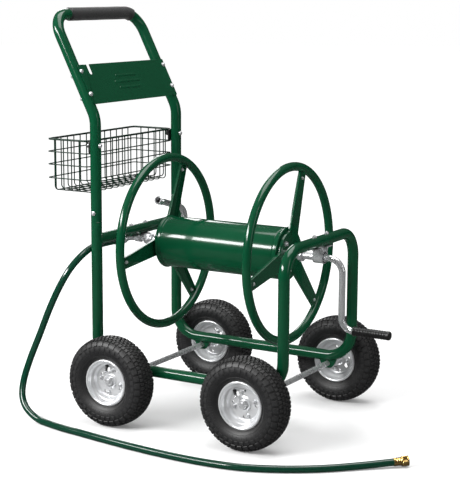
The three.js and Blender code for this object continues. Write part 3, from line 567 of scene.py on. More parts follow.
# Centripetal Catmull-Rom: knots lie the square root of each chord apart, and each span is
# Neville's blend of its four points.
def smoothRoute(points, steps):
    first = 2 * points[0] - points[1]
    last = 2 * points[-1] - points[-2]
    p = np.concatenate([[first], points, [last]])
    chords = np.linalg.norm(np.diff(p, axis=0), axis=1)
    knots = np.concatenate([[0], np.cumsum(chords ** 0.5)])
    spans = []
    for k in range(1, len(p) - 2):
        t = np.linspace(knots[k], knots[k + 1], steps, endpoint=False)[:, None]

        def blend(a, b, i, j):
            return ((knots[j] - t) * a + (t - knots[i]) * b) / (knots[j] - knots[i])
        a1, a2, a3 = (blend(p[k + d], p[k + d + 1], k + d, k + d + 1) for d in (-1, 0, 1))
        b1, b2 = blend(a1, a2, k - 1, k + 1), blend(a2, a3, k, k + 2)
        spans.append(blend(b1, b2, k, k + 1))
    return np.concatenate(spans + [points[-1:]])


cartShift = middleOf("inlet_coupling")[0] - hose["inletX"]
hosePath = smoothRoute(hoseRoute / mm + [cartShift, 0, 0], hose["stepsPerSpan"])
hosePath[:, 2] = np.maximum(hosePath[:, 2], hose["radius"])  # it lies on the ground
hoseEnd = hosePath[-1]
hoseEndAlong = unit(hosePath[-1] - hosePath[-2])


def makeHose():
    points, faces = tube(hosePath, hose["radius"], hose["sides"])
    turn = np.linspace(0, 2 * pi, hose["sides"], endpoint=False)
    far = distances(hosePath)[:, None] * mm
    lay = np.stack(np.broadcast_arrays(turn[None, :], far, 0.0), -1)
    return addPiece("hose", [(points, faces)], hoseGreen, "cart",
                    ["leader_hose"], attribute=lay.reshape(-1, 3))


# A gripping ring: its radius rises and falls count times round.
def knurled(radius, fromAlong, toAlong, origin, axis, count=28, depth=0.6):
    turn = np.linspace(0, 2 * pi, count * 4, endpoint=False)
    wave = radius + depth * np.clip(1.6 * np.cos(count * turn), -1, 1)
    axis = unit(np.asarray(axis, float))
    ring = roundAxis(axis, count * 4)
    levels = [(0.92, fromAlong), (1, fromAlong + 1), (1, toAlong - 1), (0.92, toAlong)]
    rows = [np.asarray(origin) + ring * wave[:, None] * share + axis * at for share, at in levels]
    return ringGrid(np.stack(rows))


# A thread's profile: the radius rises and falls once a turn, in four steps.
def threadLine(radius, depth, start, end, turns):
    along = np.linspace(start, end, turns * 4 + 1)
    wave = radius - depth + depth * np.cos(np.arange(len(along)) * pi / 2)
    return np.stack([wave, along], 1)


# A crimped sleeve's profile: a groove of the given width is pressed in at each place.
def crimped(radius, grooves, width, mouth, foot):
    line, bottom = list(mouth), radius - 0.8
    for at in grooves:
        line += [(radius, at), (bottom, at + 1), (bottom, at + 1 + width),
                 (radius, at + 2 + width)]
    return line + list(foot)


# A crimped ferrule and a knurled brass nut with an open, threaded mouth on the far end, and a
# crimped ferrule with a hexagon nut on the inlet.
def makeHoseEnds():
    ferrule = dict(radius=11.2, length=16, grooves=(3, 9), groove=1.5)
    nut = dict(start=16.6, length=22, neck=10.5, body=12.6, collar=13.5, mouth=11.3, depth=15,
               threads=5, threadDepth=0.45, grip=13.2, gripCount=32)
    washer = dict(radius=9.6, hole=5, front=12.8, floor=14.2, back=14.6)
    union = dict(radius=11.4, length=17, grooves=(3, 10), groove=2, hexagon=14.5)
    r, foot = ferrule["radius"], ferrule["length"]
    crimp = crimped(r, ferrule["grooves"], ferrule["groove"],
                    [(0, -2), (r - 1, -2), (r - 0.6, -1), (r, 0.5)],
                    [(r, foot - 0.6), (r - 0.6, foot), (0, foot)])
    tailPiece = addPiece("hose_ferrule", [turned(crimp, hoseEnd, hoseEndAlong)],
                         finishes["brass"], "cart", ["hose_end_tail"])
    start, end = nut["start"], nut["start"] + nut["length"]
    body = softened([(0, start), (nut["neck"], start), (nut["body"], start + 3),
                     (nut["body"], end - 3), (nut["collar"], end - 2.6), (nut["collar"], end),
                     (nut["mouth"] + 0.5, end)], 0.6)
    thread = threadLine(nut["mouth"], nut["threadDepth"], end - 1.5, end - nut["depth"],
                        nut["threads"])
    bore = np.concatenate([thread, [(0, end - nut["depth"])]])
    shell = turned(np.concatenate([body, bore]), hoseEnd, hoseEndAlong)
    grip = knurled(nut["grip"], start + 4, end - 4, hoseEnd, hoseEndAlong, nut["gripCount"], 0.5)
    nutPiece = addPiece("hose_nut_brass", [shell, grip], finishes["brass"], "hose_nut",
                        ["hose_end_nut"])
    back, front, floor = (end - washer[level] for level in ("back", "front", "floor"))
    seal = turned([(0, back), (washer["radius"], back), (washer["radius"], front),
                   (washer["hole"], front), (washer["hole"], floor), (0, floor)],
                  hoseEnd, hoseEndAlong)
    washerPiece = addPiece("hose_nut_washer", [seal], finishes["nylonBlack"], "hose_nut")
    near, far = lowOf("inlet_coupling")[1], highOf("inlet_coupling")[1]
    seat = [middleOf("inlet_coupling")[0], near, reelZ]
    r = union["radius"]
    sleeve = crimped(r, union["grooves"], union["groove"],
                     [(0, -2), (r - 1.2, -2), (r, -0.5)],
                     [(r, union["length"]), (0, union["length"])])
    hexagon = barrel(union["hexagon"], union["length"] + 0.5, far - near, seat, alongY, 1.2, 6)
    inletPiece = addPiece("inlet_union", [turned(sleeve, seat, alongY), hexagon],
                          finishes["zincPlate"], "cart", ["inlet_coupling"])
    return [tailPiece, nutPiece, washerPiece, inletPiece]


hosePiece = makeHose()
hoseEnds = makeHoseEnds()


screw = dict(flange=7.0, dome=5.6, height=5.0, shank=3.0)


# A low domed head on a flanged washer, standing out along axis.
def screwHead(at, axis, size=1.0):
    flange, dome, top = screw["flange"], screw["dome"], screw["height"]
    head = softened([(0, -1), (flange, -1), (flange, 1), (dome, 1.3), (dome - 0.4, top - 1.4),
                     (3.4, top - 0.2), (0, top)], 0.5)
    return turned(head * size, at, axis, 28)


# A chamfered hexagon with the bolt's rounded end standing through it, on a thin washer.
def hexNut(at, axis, radius=5.9, height=5.0, bore=screw["shank"]):
    washerTop, washerRadius, studTop = 0.9, radius * 1.16, height + 2.3
    body = [(0, washerTop), (radius * 0.93, washerTop), (radius, 1.6), (radius, height - 0.7),
            (radius * 0.9, height), (0, height)]
    stud = softened([(0, 0), (bore, 0), (bore, studTop - 0.7), (bore - 0.8, studTop),
                     (0, studTop)], 0.3)
    washer = [(0, -0.2), (washerRadius, -0.2), (washerRadius, washerTop), (0, washerTop)]
    return [turned(body, at, axis, 6), turned(stud, at, axis, 16), turned(washer, at, axis, 28)]


# A bolt from its head through to its nut, by the two faces that it clamps.
def crossBolt(head, foot):
    axis = unit(np.asarray(head, float) - foot)
    shank = tube([head, foot], screw["shank"], 16)
    return [screwHead(head, axis), shank, *hexNut(foot, -axis)]


def makeFrameBolts():
    for node in ("handle_bolt_front", "handle_bolt_rear", "rail_bolt_front", "rail_bolt_rear"):
        at = middleOf(node)
        outward = -1 if node.endswith("front") else 1
        reach = tubeRadius - sunk
        outer, inner = (np.array([at[0], outward * y, at[2]])
                        for y in (legY + reach, legY - reach))
        addPiece(f"{node}_screw", crossBolt(outer, inner), finishes["zincPlate"], "cart",
                 [node])


# A tube's radius along its path, with both ends broken by a small chamfer.
def seamEnds(path, radius, back=0.9, chamfer=0.8):
    first, last = unit(path[1] - path[0]), unit(path[-1] - path[-2])
    path = np.concatenate([path[:1], path[:1] + first * back, path[1:-1],
                           path[-1:] - last * back, path[-1:]])
    radii = np.full(len(path), radius)
    radii[[0, -1]] -= chamfer
    return path, radii


# A fillet where a bar along Y meets an upright leg: the circle of the bar lifted onto the leg's
# round, its bead swelling and shrinking as the ripples of a weld do.
def saddleWeld(centre, barRadius, legRadius, toward, bead=2.1, ripples=26):
    turn = np.linspace(0, 2 * pi, 96, endpoint=False)
    x, z = barRadius * np.cos(turn), barRadius * np.sin(turn)
    y = -toward * np.sqrt(np.maximum(legRadius ** 2 - x ** 2, 0))
    path = np.asarray(centre, float) + np.stack([x, y, z], 1)
    return tube(path, bead + 0.35 * np.cos(turn * ripples), 10, closed=True)


def lineWeld(start, end, bead=1.8, ripples=16):
    share = np.linspace(0, 1, ripples * 4 + 1)
    path = np.asarray(start) + share[:, None] * (np.asarray(end) - start)
    swell = bead * np.minimum(1, 6 * np.minimum(share, 1 - share) + 0.35)
    return tube(path, swell + 0.3 * np.cos(share * ripples * 2 * pi), 10)


# A folded plate under the rail that carries the axle, welded along its top on both faces.
def gusset(x, y):
    size = dict(halfTop=34, halfFoot=14, below=14, thickness=4, bend=9, weldHalf=27, weldOut=4.4,
                weldSunk=1.2)
    top, foot = railZ - axleZ - 4, -size["below"]
    outline = softened([(-size["halfTop"], top), (-size["halfFoot"], foot),
                        (size["halfFoot"], foot), (size["halfTop"], top)],
                       [1, size["bend"], size["bend"], 1], 5, closed=True)
    body = plate(outline, size["thickness"], 0.7, (x, y + size["thickness"] / 2, axleZ),
                 alongX, alongZ)
    weldZ = railZ - tubeRadius + size["weldSunk"]
    half = size["weldHalf"]
    welds = [lineWeld((x - half, at, weldZ), (x + half, at, weldZ))
             for at in (y - size["weldOut"], y + size["weldOut"])]
    return [body, *welds]


def makeHandleEndFrame():
    size = dict(bend=80, crossbar=15.8, crossbarInset=4, plugHalf=4, plugInset=1.0)
    shapes = []
    for y in (-legY, legY):
        corners = [(railJointX, y, railZ), (handleLegX, y, railZ), (handleLegX, y, handleSeamZ)]
        shapes.append(tube(*seamEnds(bent(corners, size["bend"]), tubeRadius), 40))
        for joint, along in ((corners[0], alongX), (corners[2], alongZ)):
            plug = [joint - along * size["plugHalf"], joint + along * size["plugHalf"]]
            shapes.append(tube(plug, tubeRadius - size["plugInset"], 40))
        shapes += gusset(joints["wheel_handle_rear_spin"][0], y)
        shapes.append(saddleWeld((handleLegX, y, crossbarZ), size["crossbar"], tubeRadius,
                                 np.sign(y)))
    reach = legY - size["crossbarInset"]
    ends = [(handleLegX, y, crossbarZ) for y in (-reach, reach)]
    shapes.append(tube(ends, size["crossbar"], 40))
    addPiece("frame_handle_half", shapes, finishes["powderGreen"], "cart",
             ["frame_handle_end"])


def makeCrankEndFrame():
    size = dict(bend=80, corner=75)
    start = railJointX + gap
    corners = [(start, -legY, railZ), (crankLegX, -legY, railZ), (crankLegX, -legY, topBarZ),
               (crankLegX, legY, topBarZ), (crankLegX, legY, railZ), (start, legY, railZ)]
    bends = [size["bend"], size["corner"], size["corner"], size["bend"]]
    shapes = [tube(*seamEnds(bent(corners, bends), tubeRadius), 40)]
    for y in (-legY, legY):
        shapes += gusset(joints["wheel_crank_rear_spin"][0], y)
    addPiece("frame_crank_half", shapes, finishes["powderGreen"], "cart",
             ["frame_crank_end"])


makeHandleEndFrame()
makeCrankEndFrame()
makeFrameBolts()
print("frame made")


handle = dict(knee=90, corner=65, reach=323.5, boltOut=1.15)
lowerPlateBolt = middleOf("plate_bolt_front_lower")
upperPlateBolt = middleOf("plate_bolt_front_upper")
tilt = unit(upperPlateBolt - lowerPlateBolt)
tiltOut = np.array([tilt[2], 0, -tilt[0]])
onAxis = lowerPlateBolt - tiltOut * handle["boltOut"]
kneePoint = onAxis + tilt * (handleLegX - onAxis[0]) / tilt[0]


# The point at s up the tilted legs from the knee and out ahead of them.
def onHandle(s, out, y):
    point = kneePoint + tilt * s + tiltOut * out
    point[1] = y
    return point


def makeHandleTube():
    corners = [(handleLegX, -legY, handleSeamZ + gap), (handleLegX, -legY, kneePoint[2]),
               onHandle(handle["reach"], 0, -legY), onHandle(handle["reach"], 0, legY),
               (handleLegX, legY, kneePoint[2]), (handleLegX, legY, handleSeamZ + gap)]
    bends = [handle["knee"], handle["corner"], handle["corner"], handle["knee"]]
    path, radii = seamEnds(bent(corners, bends), tubeRadius)
    addPiece("push_handle", [tube(path, radii, 40)], finishes["powderGreen"], "cart",
             ["handle_tube"])


# A foam sleeve: straight along the bar, then round the rear bend, with ends rolled in and the slow
# swell of foam stretched over a tube.
def makeFoamGrip():
    foam = dict(wall=3.4, clearance=0.3, fromBend=11, arc=30, endRound=3.0, swell=0.12,
                swellLength=17)
    reach, corner = handle["reach"], handle["corner"]
    bendY = legY - corner
    turn = np.radians(np.linspace(0, foam["arc"], 16))
    straight = np.stack([onHandle(reach, 0, y)
                         for y in np.linspace(foam["fromBend"] - bendY, bendY, 60)])
    arc = np.stack([onHandle(reach - corner * (1 - np.cos(a)), 0, bendY + corner * np.sin(a))
                    for a in turn[1:]])
    path = np.concatenate([straight, arc])
    far = distances(path)
    fromEnd = np.minimum(np.minimum(far, far[-1] - far) / foam["endRound"], 1)
    rolledIn = np.sqrt(np.clip(1 - (1 - fromEnd) ** 2, 0, 1))
    radii = (tubeRadius + foam["clearance"] + (foam["wall"] - foam["clearance"]) * rolledIn
             + foam["swell"] * np.sin(far / foam["swellLength"]))
    sleeve = addPiece("foam_grip", [tube(path, radii, 40)], finishes["foamBlack"], "cart",
                      ["handle_grip"])


# A flat sheet with a nozzle notch in its top edge and plain pressed ribs in its middle.
def makeToolPlate():
    size = dict(sheet=2.0, foot=35, height=122.5, past=8, corner=5, topCorner=4, edge=0.5,
                margin=1.2, notchY=-171, notchHalf=6.5, notchDepth=32, notchCorner=2)
    ribs = dict(halfLength=62, shorter=14, radius=4.2, rise=1.5, spacing=19, centreY=-8,
                sunk=0.3)
    half, foot = legY + size["past"], size["foot"]
    top, bevel, mouth = foot + size["height"], size["topCorner"], size["notchCorner"]
    left, right = size["notchY"] - size["notchHalf"], size["notchY"] + size["notchHalf"]
    root = top - size["notchDepth"] + size["notchHalf"]
    curve = np.linspace(0, -pi, 13)
    slot = np.stack([size["notchY"] + size["notchHalf"] * np.cos(curve),
                     root + size["notchHalf"] * np.sin(curve)], 1)
    corners = softened([(-half, foot), (half, foot), (half, top)], size["corner"], 4, closed=True)
    outline = np.concatenate([corners, [(right + mouth, top), (right, top - mouth)], slot,
                              [(left, top - mouth), (left - mouth, top), (-half + bevel, top),
                               (-half, top - bevel)]])
    base = onHandle(0, tubeRadius + gap - 0.2, 0)
    shapes = [plate(outline, size["sheet"], size["edge"], base, alongY, tilt, size["margin"])]
    front = onHandle(0, tubeRadius + gap + size["sheet"] - ribs["sunk"], 0)
    middle = foot + size["height"] / 2
    arc = np.linspace(-pi / 2, pi / 2, 13)
    levels = [(0, 0), (0.9, ribs["rise"] * 0.62), (2.1, ribs["rise"] * 0.95), (3.2, ribs["rise"])]
    for k in (-1, 0, 1):
        reach = ribs["halfLength"] - ribs["shorter"] * abs(k)
        cap = np.stack([reach + ribs["radius"] * np.cos(arc), ribs["radius"] * np.sin(arc)], 1)
        stadium = np.concatenate([cap, -cap]) + [ribs["centreY"], middle + k * ribs["spacing"]]
        shapes.append(slab(stadium, levels, front, alongY, tilt))
    addPiece("nozzle_plate", shapes, finishes["powderGreen"], "cart",
             ["tool_plate"])


def makePlateBolts():
    plateOut = tubeRadius + 2.1
    for side, y in (("front", -legY), ("rear", legY)):
        for level in ("lower", "upper"):
            node = f"plate_bolt_{side}_{level}"
            s = (middleOf(node) - kneePoint).dot(tilt)
            shapes = crossBolt(onHandle(s, plateOut, y), onHandle(s, sunk - tubeRadius, y))
            addPiece(f"{node}_screw", shapes, finishes["zincPlate"], "cart", [node])


makeHandleTube()
makeFoamGrip()
makeToolPlate()
makePlateBolts()
print("handle made")


# Welded wire: a thick rim, thinner hoops below it, and U-shaped wires that run down one wall,
# across the floor and up the other, both ways.
def makeBasket():
    size = dict(rim=3.0, wire=1.75, corner=14, fold=10, across=13, lengthways=4,
                drops=(0.24, 0.485, 0.745))
    x0, x1 = middleOf("basket_outer_wall")[0], middleOf("basket_inner_wall")[0]
    y1 = middleOf("basket_rear_wall")[1]
    rimZ = highOf("basket_outer_wall")[2] - size["rim"]
    floorZ = middleOf("basket_floor")[2]

    def hoop(z, out, radius, sides):
        box = [(x0 - out, -y1 - out, z), (x1 + out, -y1 - out, z), (x1 + out, y1 + out, z),
               (x0 - out, y1 + out, z)]
        return tube(softened(box, size["corner"], 7, closed=True), radius, sides, closed=True)

    wire = size["wire"]
    shapes = [hoop(rimZ, 0, size["rim"], 14)]
    shapes += [hoop(rimZ - (rimZ - floorZ) * drop, wire, wire, 10) for drop in size["drops"]]
    for y in np.linspace(-y1, y1, size["across"] + 2)[1:-1]:
        wireLine = [(x0, y, rimZ), (x0, y, floorZ), (x1, y, floorZ), (x1, y, rimZ)]
        shapes.append(tube(bent(wireLine, size["fold"], 18), wire, 8))
    overZ = floorZ + 2 * wire
    for x in np.linspace(x0, x1, size["lengthways"] + 2)[1:-1]:
        wireLine = [(x, -y1, rimZ), (x, -y1, overZ), (x, y1, overZ), (x, y1, rimZ)]
        shapes.append(tube(bent(wireLine, size["fold"], 18), wire, 8))
    walls = [f"basket_{part}" for part in
             ("outer_wall", "inner_wall", "front_wall", "rear_wall", "floor")]
    addPiece("wire_basket", shapes, finishes["wireGreen"], "cart", walls, 40)


# A moulded block that hooks over the rim, and the screw that holds it to the leg.
def makeBasketClips():
    hook = dict(corner=6, edge=1.0, lip=9, lipEdge=2.2, lipOut=8.5, lipShare=(0.92, 0.5),
                lipUp=0.42)
    for side in ("front", "rear"):
        low, high = lowOf(f"basket_clip_{side}"), highOf(f"basket_clip_{side}")
        centre, (halfX, halfY, halfZ) = (low + high) / 2, (high - low) / 2
        outline = softened([(-halfY, -halfZ), (halfY, -halfZ), (halfY, halfZ), (-halfY, halfZ)],
                           hook["corner"], 5, closed=True)
        block = plate(outline, 2 * halfX, hook["edge"], centre - alongX * halfX, alongY, alongZ)
        lip = plate(outline * hook["lipShare"] + [0, halfZ * hook["lipUp"]], hook["lip"],
                    hook["lipEdge"], centre - alongX * (halfX + hook["lipOut"]), alongY, alongZ)
        addPiece(f"basket_hook_{side}", [block, lip], finishes["nylonBlack"], "cart",
                 [f"basket_clip_{side}"])
        at = middleOf(f"basket_bolt_{side}")
        outer = np.array([handleLegX + tubeRadius - sunk, at[1], at[2]])
        inner = np.array([low[0] + sunk, at[1], at[2]])
        addPiece(f"basket_bolt_{side}_screw", crossBolt(outer, inner), finishes["zincPlate"],
                 "cart", [f"basket_bolt_{side}"])


makeBasket()
makeBasketClips()
print("basket made")


tyre = dict(blockRows=(-26.5, -13.2, 0.0, 13.2, 26.5), blocks=66, blockHalfAcross=5.0,
            blockHalf=0.031, blockHeight=3.0, lugs=36, lugHalf=0.066, lugHeight=2.5,
            ribHeight=0.9, rings=((77.5, 0.7), (88.0, 0.8), (91.5, 0.6)), bead=(62, 23))
# Half of the carcass outline, (radius, distance from the middle plane), crown to bead.
carcassHalf = np.array([(127.0, 0), (126.7, 12), (125.2, 23), (121.5, 31.5), (115, 37.5),
                        (106, 41), (97, 42), (88, 40.5), (79, 36.5), (72, 31.5), (67.5, 27.5),
                        (66.0, 23)])


# The carcass outline with its corners eased twice, with its length along the surface and the way
# out of it at each point.
def makeCarcass():
    side = softened(softened(carcassHalf, 6, 3), 2, 2)
    full = np.concatenate([(side * [1, -1])[:0:-1], side])
    step = np.linalg.norm(np.diff(full, axis=0), axis=1)
    far = np.concatenate([[0], np.cumsum(step)])
    far -= far[len(side) - 1]
    along = unit(np.gradient(full, axis=0))
    out = np.stack([along[:, 1], -along[:, 0]], 1)
    return full, far, out


carcass, carcassFar, carcassOut = makeCarcass()


# A point round the tyre, far along its surface from the crown and height out of it; the tyre turns
# about Y.
def onTyre(angle, far, height):
    radius = np.interp(far, carcassFar, carcass[:, 0]) \
        + height * np.interp(far, carcassFar, carcassOut[:, 0])
    across = np.interp(far, carcassFar, carcass[:, 1]) \
        + height * np.interp(far, carcassFar, carcassOut[:, 1])
    return np.stack([radius * np.sin(angle), across, radius * np.cos(angle)], -1)


# Blocks set evenly round the tyre: each is a low rectangle carried along the surface from farFrom
# to farTo, its ends and edges drawn in.
def tyreBlocks(count, first, farFrom, farTo, halfAngle, height, stations=4):
    angle = first + np.arange(count) * 2 * pi / count
    share = np.concatenate([[0, 0.08], np.linspace(0, 1, stations)[1:-1], [0.92, 1]])
    far = farFrom + (farTo - farFrom) * share
    tops = np.full(len(share), height)
    tops[[0, -1]] *= 0.55
    corner = np.array([(-1, -1), (-0.86, 1), (0.86, 1), (1, -1)])
    turn = angle[:, None, None] + halfAngle * corner[None, None, :, 0]
    rise = np.where(corner[:, 1] > 0, tops[:, None], -1.0)[None]
    points = onTyre(*np.broadcast_arrays(turn, far[None, :, None], rise))
    return [ringGrid(block) for block in points]


def tyreShapes():
    sides, (beadRadius, beadOut) = 120, tyre["bead"]
    profile = np.concatenate([carcass, [(beadRadius, beadOut), (beadRadius, -beadOut)]])
    shapes = [turned(profile, (0, 0, 0), alongY, sides, closed=True)]
    half, pitch = tyre["blockHalfAcross"], 2 * pi / tyre["blocks"]
    for k, row in enumerate(tyre["blockRows"]):
        shapes += tyreBlocks(tyre["blocks"], (k % 2) * pitch / 2, row - half, row + half,
                             tyre["blockHalf"], tyre["blockHeight"])
    lugPitch = 2 * pi / tyre["lugs"]
    bands = (dict(far=(33.2, 48.5), half=tyre["lugHalf"], rise=tyre["lugHeight"], turn=0),
             dict(far=(50.5, 60.5), half=tyre["lugHalf"] * 0.9, rise=1.5, turn=0.5),
             dict(far=(62, 75), half=0.007, rise=tyre["ribHeight"], turn=0.5),
             dict(far=(66, 72), half=0.006, rise=tyre["ribHeight"] * 0.8, turn=0))
    turn = np.linspace(0, 2 * pi, sides, endpoint=False)
    for side in (-1, 1):
        for band in bands:
            start, end = sorted(side * far for far in band["far"])
            shapes += tyreBlocks(tyre["lugs"], band["turn"] * lugPitch, start, end, band["half"],
                                 band["rise"], 6)
        for far, rise in tyre["rings"]:
            shapes.append(tube(onTyre(turn, np.full(sides, side * far), 0), rise, 8, closed=True))
    return shapes


# Cuts holes: both sides become temporary meshes and the exact boolean's result is kept.
def boolCut(shapes, cutters):
    body, tool = (addObject("cutting", joinedMesh("cutting", side)) for side in (shapes, cutters))
    cut = body.modifiers.new("cut", "BOOLEAN")
    cut.object, cut.operation, cut.solver = tool, "DIFFERENCE", "EXACT"
    bpy.context.view_layer.update()
    result = body.evaluated_get(bpy.context.evaluated_depsgraph_get()).to_mesh()
    points = np.empty(len(result.vertices) * 3)
    result.vertices.foreach_get("co", points)
    faces = [list(p.vertices) for p in result.polygons]
    for holder in (body, tool):
        bpy.data.objects.remove(holder)
    return points.reshape(-1, 3), faces


rim = dict(sheet=2.0, webStart=16.9, webEdge=41.0, boltCircle=33, holeCircle=36.5, hole=3.6,
           hub=16.5, hubBore=13.0, collar=22.0, outerHub=9, innerHub=47)
# Middle line of the rim's wall, (radius, distance out), from the web to the rolled lip.
rimLine = np.array([(41.0, 1.6), (43, 1.6), (46.5, 3.2), (49, 8), (51, 13), (57, 17), (60.2, 23),
                    (61.0, 28.2), (63.6, 30.4), (66.4, 29.4), (66.8, 26.8)])


# A point in the wheel's middle plane, at an angle from its top.
def roundWheel(angle, radius):
    return np.array([np.sin(angle), 0, np.cos(angle)]) * radius


# Two pressed halves. A flat web with a valve slot and four small holes carries a dished wall: the
# wall's middle line is thickened into a sheet and turned. The web's edge is tucked into the wall.
def rimShapes():
    half, start, edge = rim["sheet"] / 2, rim["webStart"], rim["webEdge"]
    seam, tucked, sides = 0.02, 0.6, 96
    middle, origin = rimLine[0, 1], (0, 0, 0)
    flat = np.array([(start, middle - half), (edge - seam, middle - half),
                     (edge + tucked, middle - half / 2), (edge + tucked, middle + half / 2),
                     (edge - seam, middle + half), (start, middle + half)])
    line = softened(rimLine, 3.0, 4)
    wall = thickened(line, rim["sheet"])
    back = thickened((line * [1, -1])[::-1], rim["sheet"])
    cutHalf, hole = 9, rim["hole"]
    cutters = []
    for k in range(4):
        at = roundWheel((k + 0.5) * pi / 2, rim["holeCircle"])
        cutters.append(turned([(0, -cutHalf), (hole, -cutHalf), (hole, cutHalf), (0, cutHalf)],
                              at, alongY, 16))
    slot = softened([(-7, 27), (7, 27), (7.6, 39.5), (-7.6, 39.5)], 4, 4, closed=True)
    cutters.append(plate(slot, 2 * cutHalf, 0.1, (0, cutHalf, 0), alongX, alongZ))
    webs = [turned(flat, origin, alongY, sides, closed=True),
            turned((flat * [1, -1])[::-1], origin, alongY, sides, closed=True)]
    return [*(boolCut([web], cutters) for web in webs),
            *(turned(profile, origin, alongY, sides, closed=True) for profile in (wall, back))]


# The hub tube with a pressed collar where it meets the web.
def hubShapes():
    bore, outer, inner = rim["hubBore"], rim["outerHub"], -rim["innerHub"]
    profile = softened([(bore, outer - 6), (bore, inner), (rim["hub"], inner), (rim["hub"], -6),
                        (rim["collar"], -2.6), (rim["collar"], 2.6), (rim["hub"] + 1.5, 4.2),
                        (rim["hub"], 6.5), (rim["hub"], outer), (bore, outer)],
                       0.7, 3, closed=True)
    return turned(profile, (0, 0, 0), alongY, 48, closed=True)


# Four bolts that hold the rim halves together, head inside and nut outside.
def wheelBolts():
    size = dict(firstTurn=pi / 4 + 0.35, nutOut=2.4, headIn=2.6, nut=5.6, nutHeight=5.4,
                headSize=0.9)
    shapes = []
    for k in range(4):
        at = roundWheel(k * pi / 2 + size["firstTurn"], rim["boltCircle"])
        shapes += hexNut(at + alongY * size["nutOut"], alongY, size["nut"], size["nutHeight"])
        shapes.append(screwHead(at - alongY * size["headIn"], -alongY, size["headSize"]))
    return shapes


valve = dict(foot=(0, 4.0, 45.0), lean=(0, 0.62, -0.78), length=18)


# A rubber stem that leans out of the slot, and its metal cap.
def valveShapes():
    foot, lean, top = np.array(valve["foot"]), unit(np.array(valve["lean"])), valve["length"]
    stem = softened([(0, 0), (5.4, 0), (4.6, 3), (3.9, 5), (3.7, top - 1), (3.0, top), (0, top)],
                    0.6)
    cap = softened([(0, top - 0.5), (3.3, top - 0.5), (3.3, top + 6), (2.6, top + 7.4),
                    (0, top + 7.6)], 0.5)
    return [turned(stem, foot, lean, 20)], [turned(cap, foot, lean, 20)]


# The same shape for a wheel whose outer side looks along -Y: turned half round Z.
def facing(shape, outward):
    points, faces = shape
    return (points if outward > 0 else points * [-1, -1, 1]), faces


def makeWheels():
    stem, cap = valveShapes()
    bushBore, bushRadius, bushOut, bushIn = 8.6, 12.7, 9.2, -47.2
    bush = [(bushBore, bushOut), (bushBore, bushIn), (bushRadius, bushIn), (bushRadius, bushOut)]
    parts = (("tyre", tyreShapes(), "tyreRubber", "tyre", "tyre", 40),
             ("rim", [*rimShapes(), hubShapes()], "rimSilver", "rim_silver", "rim", 28),
             ("rim_bolts", wheelBolts(), "zincPlate", "zinc", None, 32),
             ("valve_stem", stem, "nylonBlack", "nylon_black", None, 32),
             ("valve_cap", cap, "chrome", "chrome", None, 32),
             ("hub_bush", [turned(bush, (0, 0, 0), alongY, 32, closed=True)], "nylonBlack",
              "nylon_black", "bush", 32))
    turns = dict(handle_front=-0.25, handle_rear=0.9, crank_front=-0.75, crank_rear=2.2)
    for key, turn in turns.items():
        outward = 1 if key.endswith("rear") else -1
        body, centre = f"wheel_{key}", joints[f"wheel_{key}_spin"]
        for name, shapes, look, slot, node, crease in parts:
            placed = [moved(rolled(facing(shape, outward), np.zeros(3), alongY, turn), centre)
                      for shape in shapes]
            addPiece(f"{name}_{key}", placed, finishes[look], body,
                     [f"{body}_{node}"] if node else (), crease)


# Two zinc rods with their washers, nuts and rounded ends.
def makeAxles():
    size = dict(radius=8.0, end=1.2, nut=12.6, nutHeight=7.6, bore=8.2, washer=15.2,
                washerTop=0.9)
    radius, taper, nut, tall = (size[k] for k in ("radius", "end", "nut", "nutHeight"))
    bore, wide, washerTop = (size[k] for k in ("bore", "washer", "washerTop"))
    body = [(bore, 0.8), (nut, 0.8), (nut + 0.6, 1.8), (nut + 0.6, tall - 1.6),
            (nut - 1.2, tall), (bore, tall)]
    washer = [(bore, -0.3), (wide, -0.3), (wide, washerTop), (bore, washerTop)]
    for end in ("handle", "crank"):
        node = f"axle_{end}_end"
        x, half = middleOf(node)[0], highOf(node)[1]
        rod = softened([(0, -half), (radius - taper, -half), (radius, taper - half),
                        (radius, half - taper), (radius - taper, half), (0, half)], 0.4)
        addPiece(f"axle_rod_{end}", [turned(rod, (x, 0, axleZ), alongY, 32)],
                 finishes["zincPlate"], "cart", [node])
        for side, outward in (("front", -1), ("rear", 1)):
            node = f"wheel_{end}_{side}_nut"
            near = np.abs([lowOf(node)[1], highOf(node)[1]]).min()
            at, axis = np.array([x, outward * near, axleZ]), alongY * outward
            addPiece(f"axle_nut_{end}_{side}",
                     [turned(body, at, axis, 6, closed=True),
                      turned(washer, at, axis, 40, closed=True)],
                     finishes["zincPlate"], "cart", [node])


makeWheels()
makeAxles()
print("wheels made")


reel = dict(hoopRadius=248.0, hoopTube=12.7, drumRadius=75.0, hubDisc=66.0, spokeSheet=2.0,
            spokeDepth=9.0, hubHalf=25.0, rimHalf=16.0)
spokeAngles = dict(handle=(68, 188, 308), crank=(73, 193, 313))


# Each hoop is a circle of tube with the slight swell of a ground butt weld at its foot.
def makeHoops():
    seamHeight, seamHalf = 0.35, 0.012
    turn = np.linspace(0, 2 * pi, 192, endpoint=False)
    seam = seamHeight * np.exp(-(np.minimum(turn, 2 * pi - turn) / seamHalf) ** 2)
    for end in ("handle", "crank"):
        path = np.stack([np.full_like(turn, hoopX[end]), reel["hoopRadius"] * np.sin(turn),
                         reelZ - reel["hoopRadius"] * np.cos(turn)], 1)
        addPiece(f"hoop_{end}", [tube(path, reel["hoopTube"] + seam, 32, closed=True)],
                 finishes["powderGreen"], "reel", [f"reel_hoop_{end}_end"])


# A point of the reel's side, along a spoke's own angle.
def spokePoint(x, angle, along):
    a = np.radians(angle)
    return np.array([x, along * np.cos(a), reelZ + along * np.sin(a)])


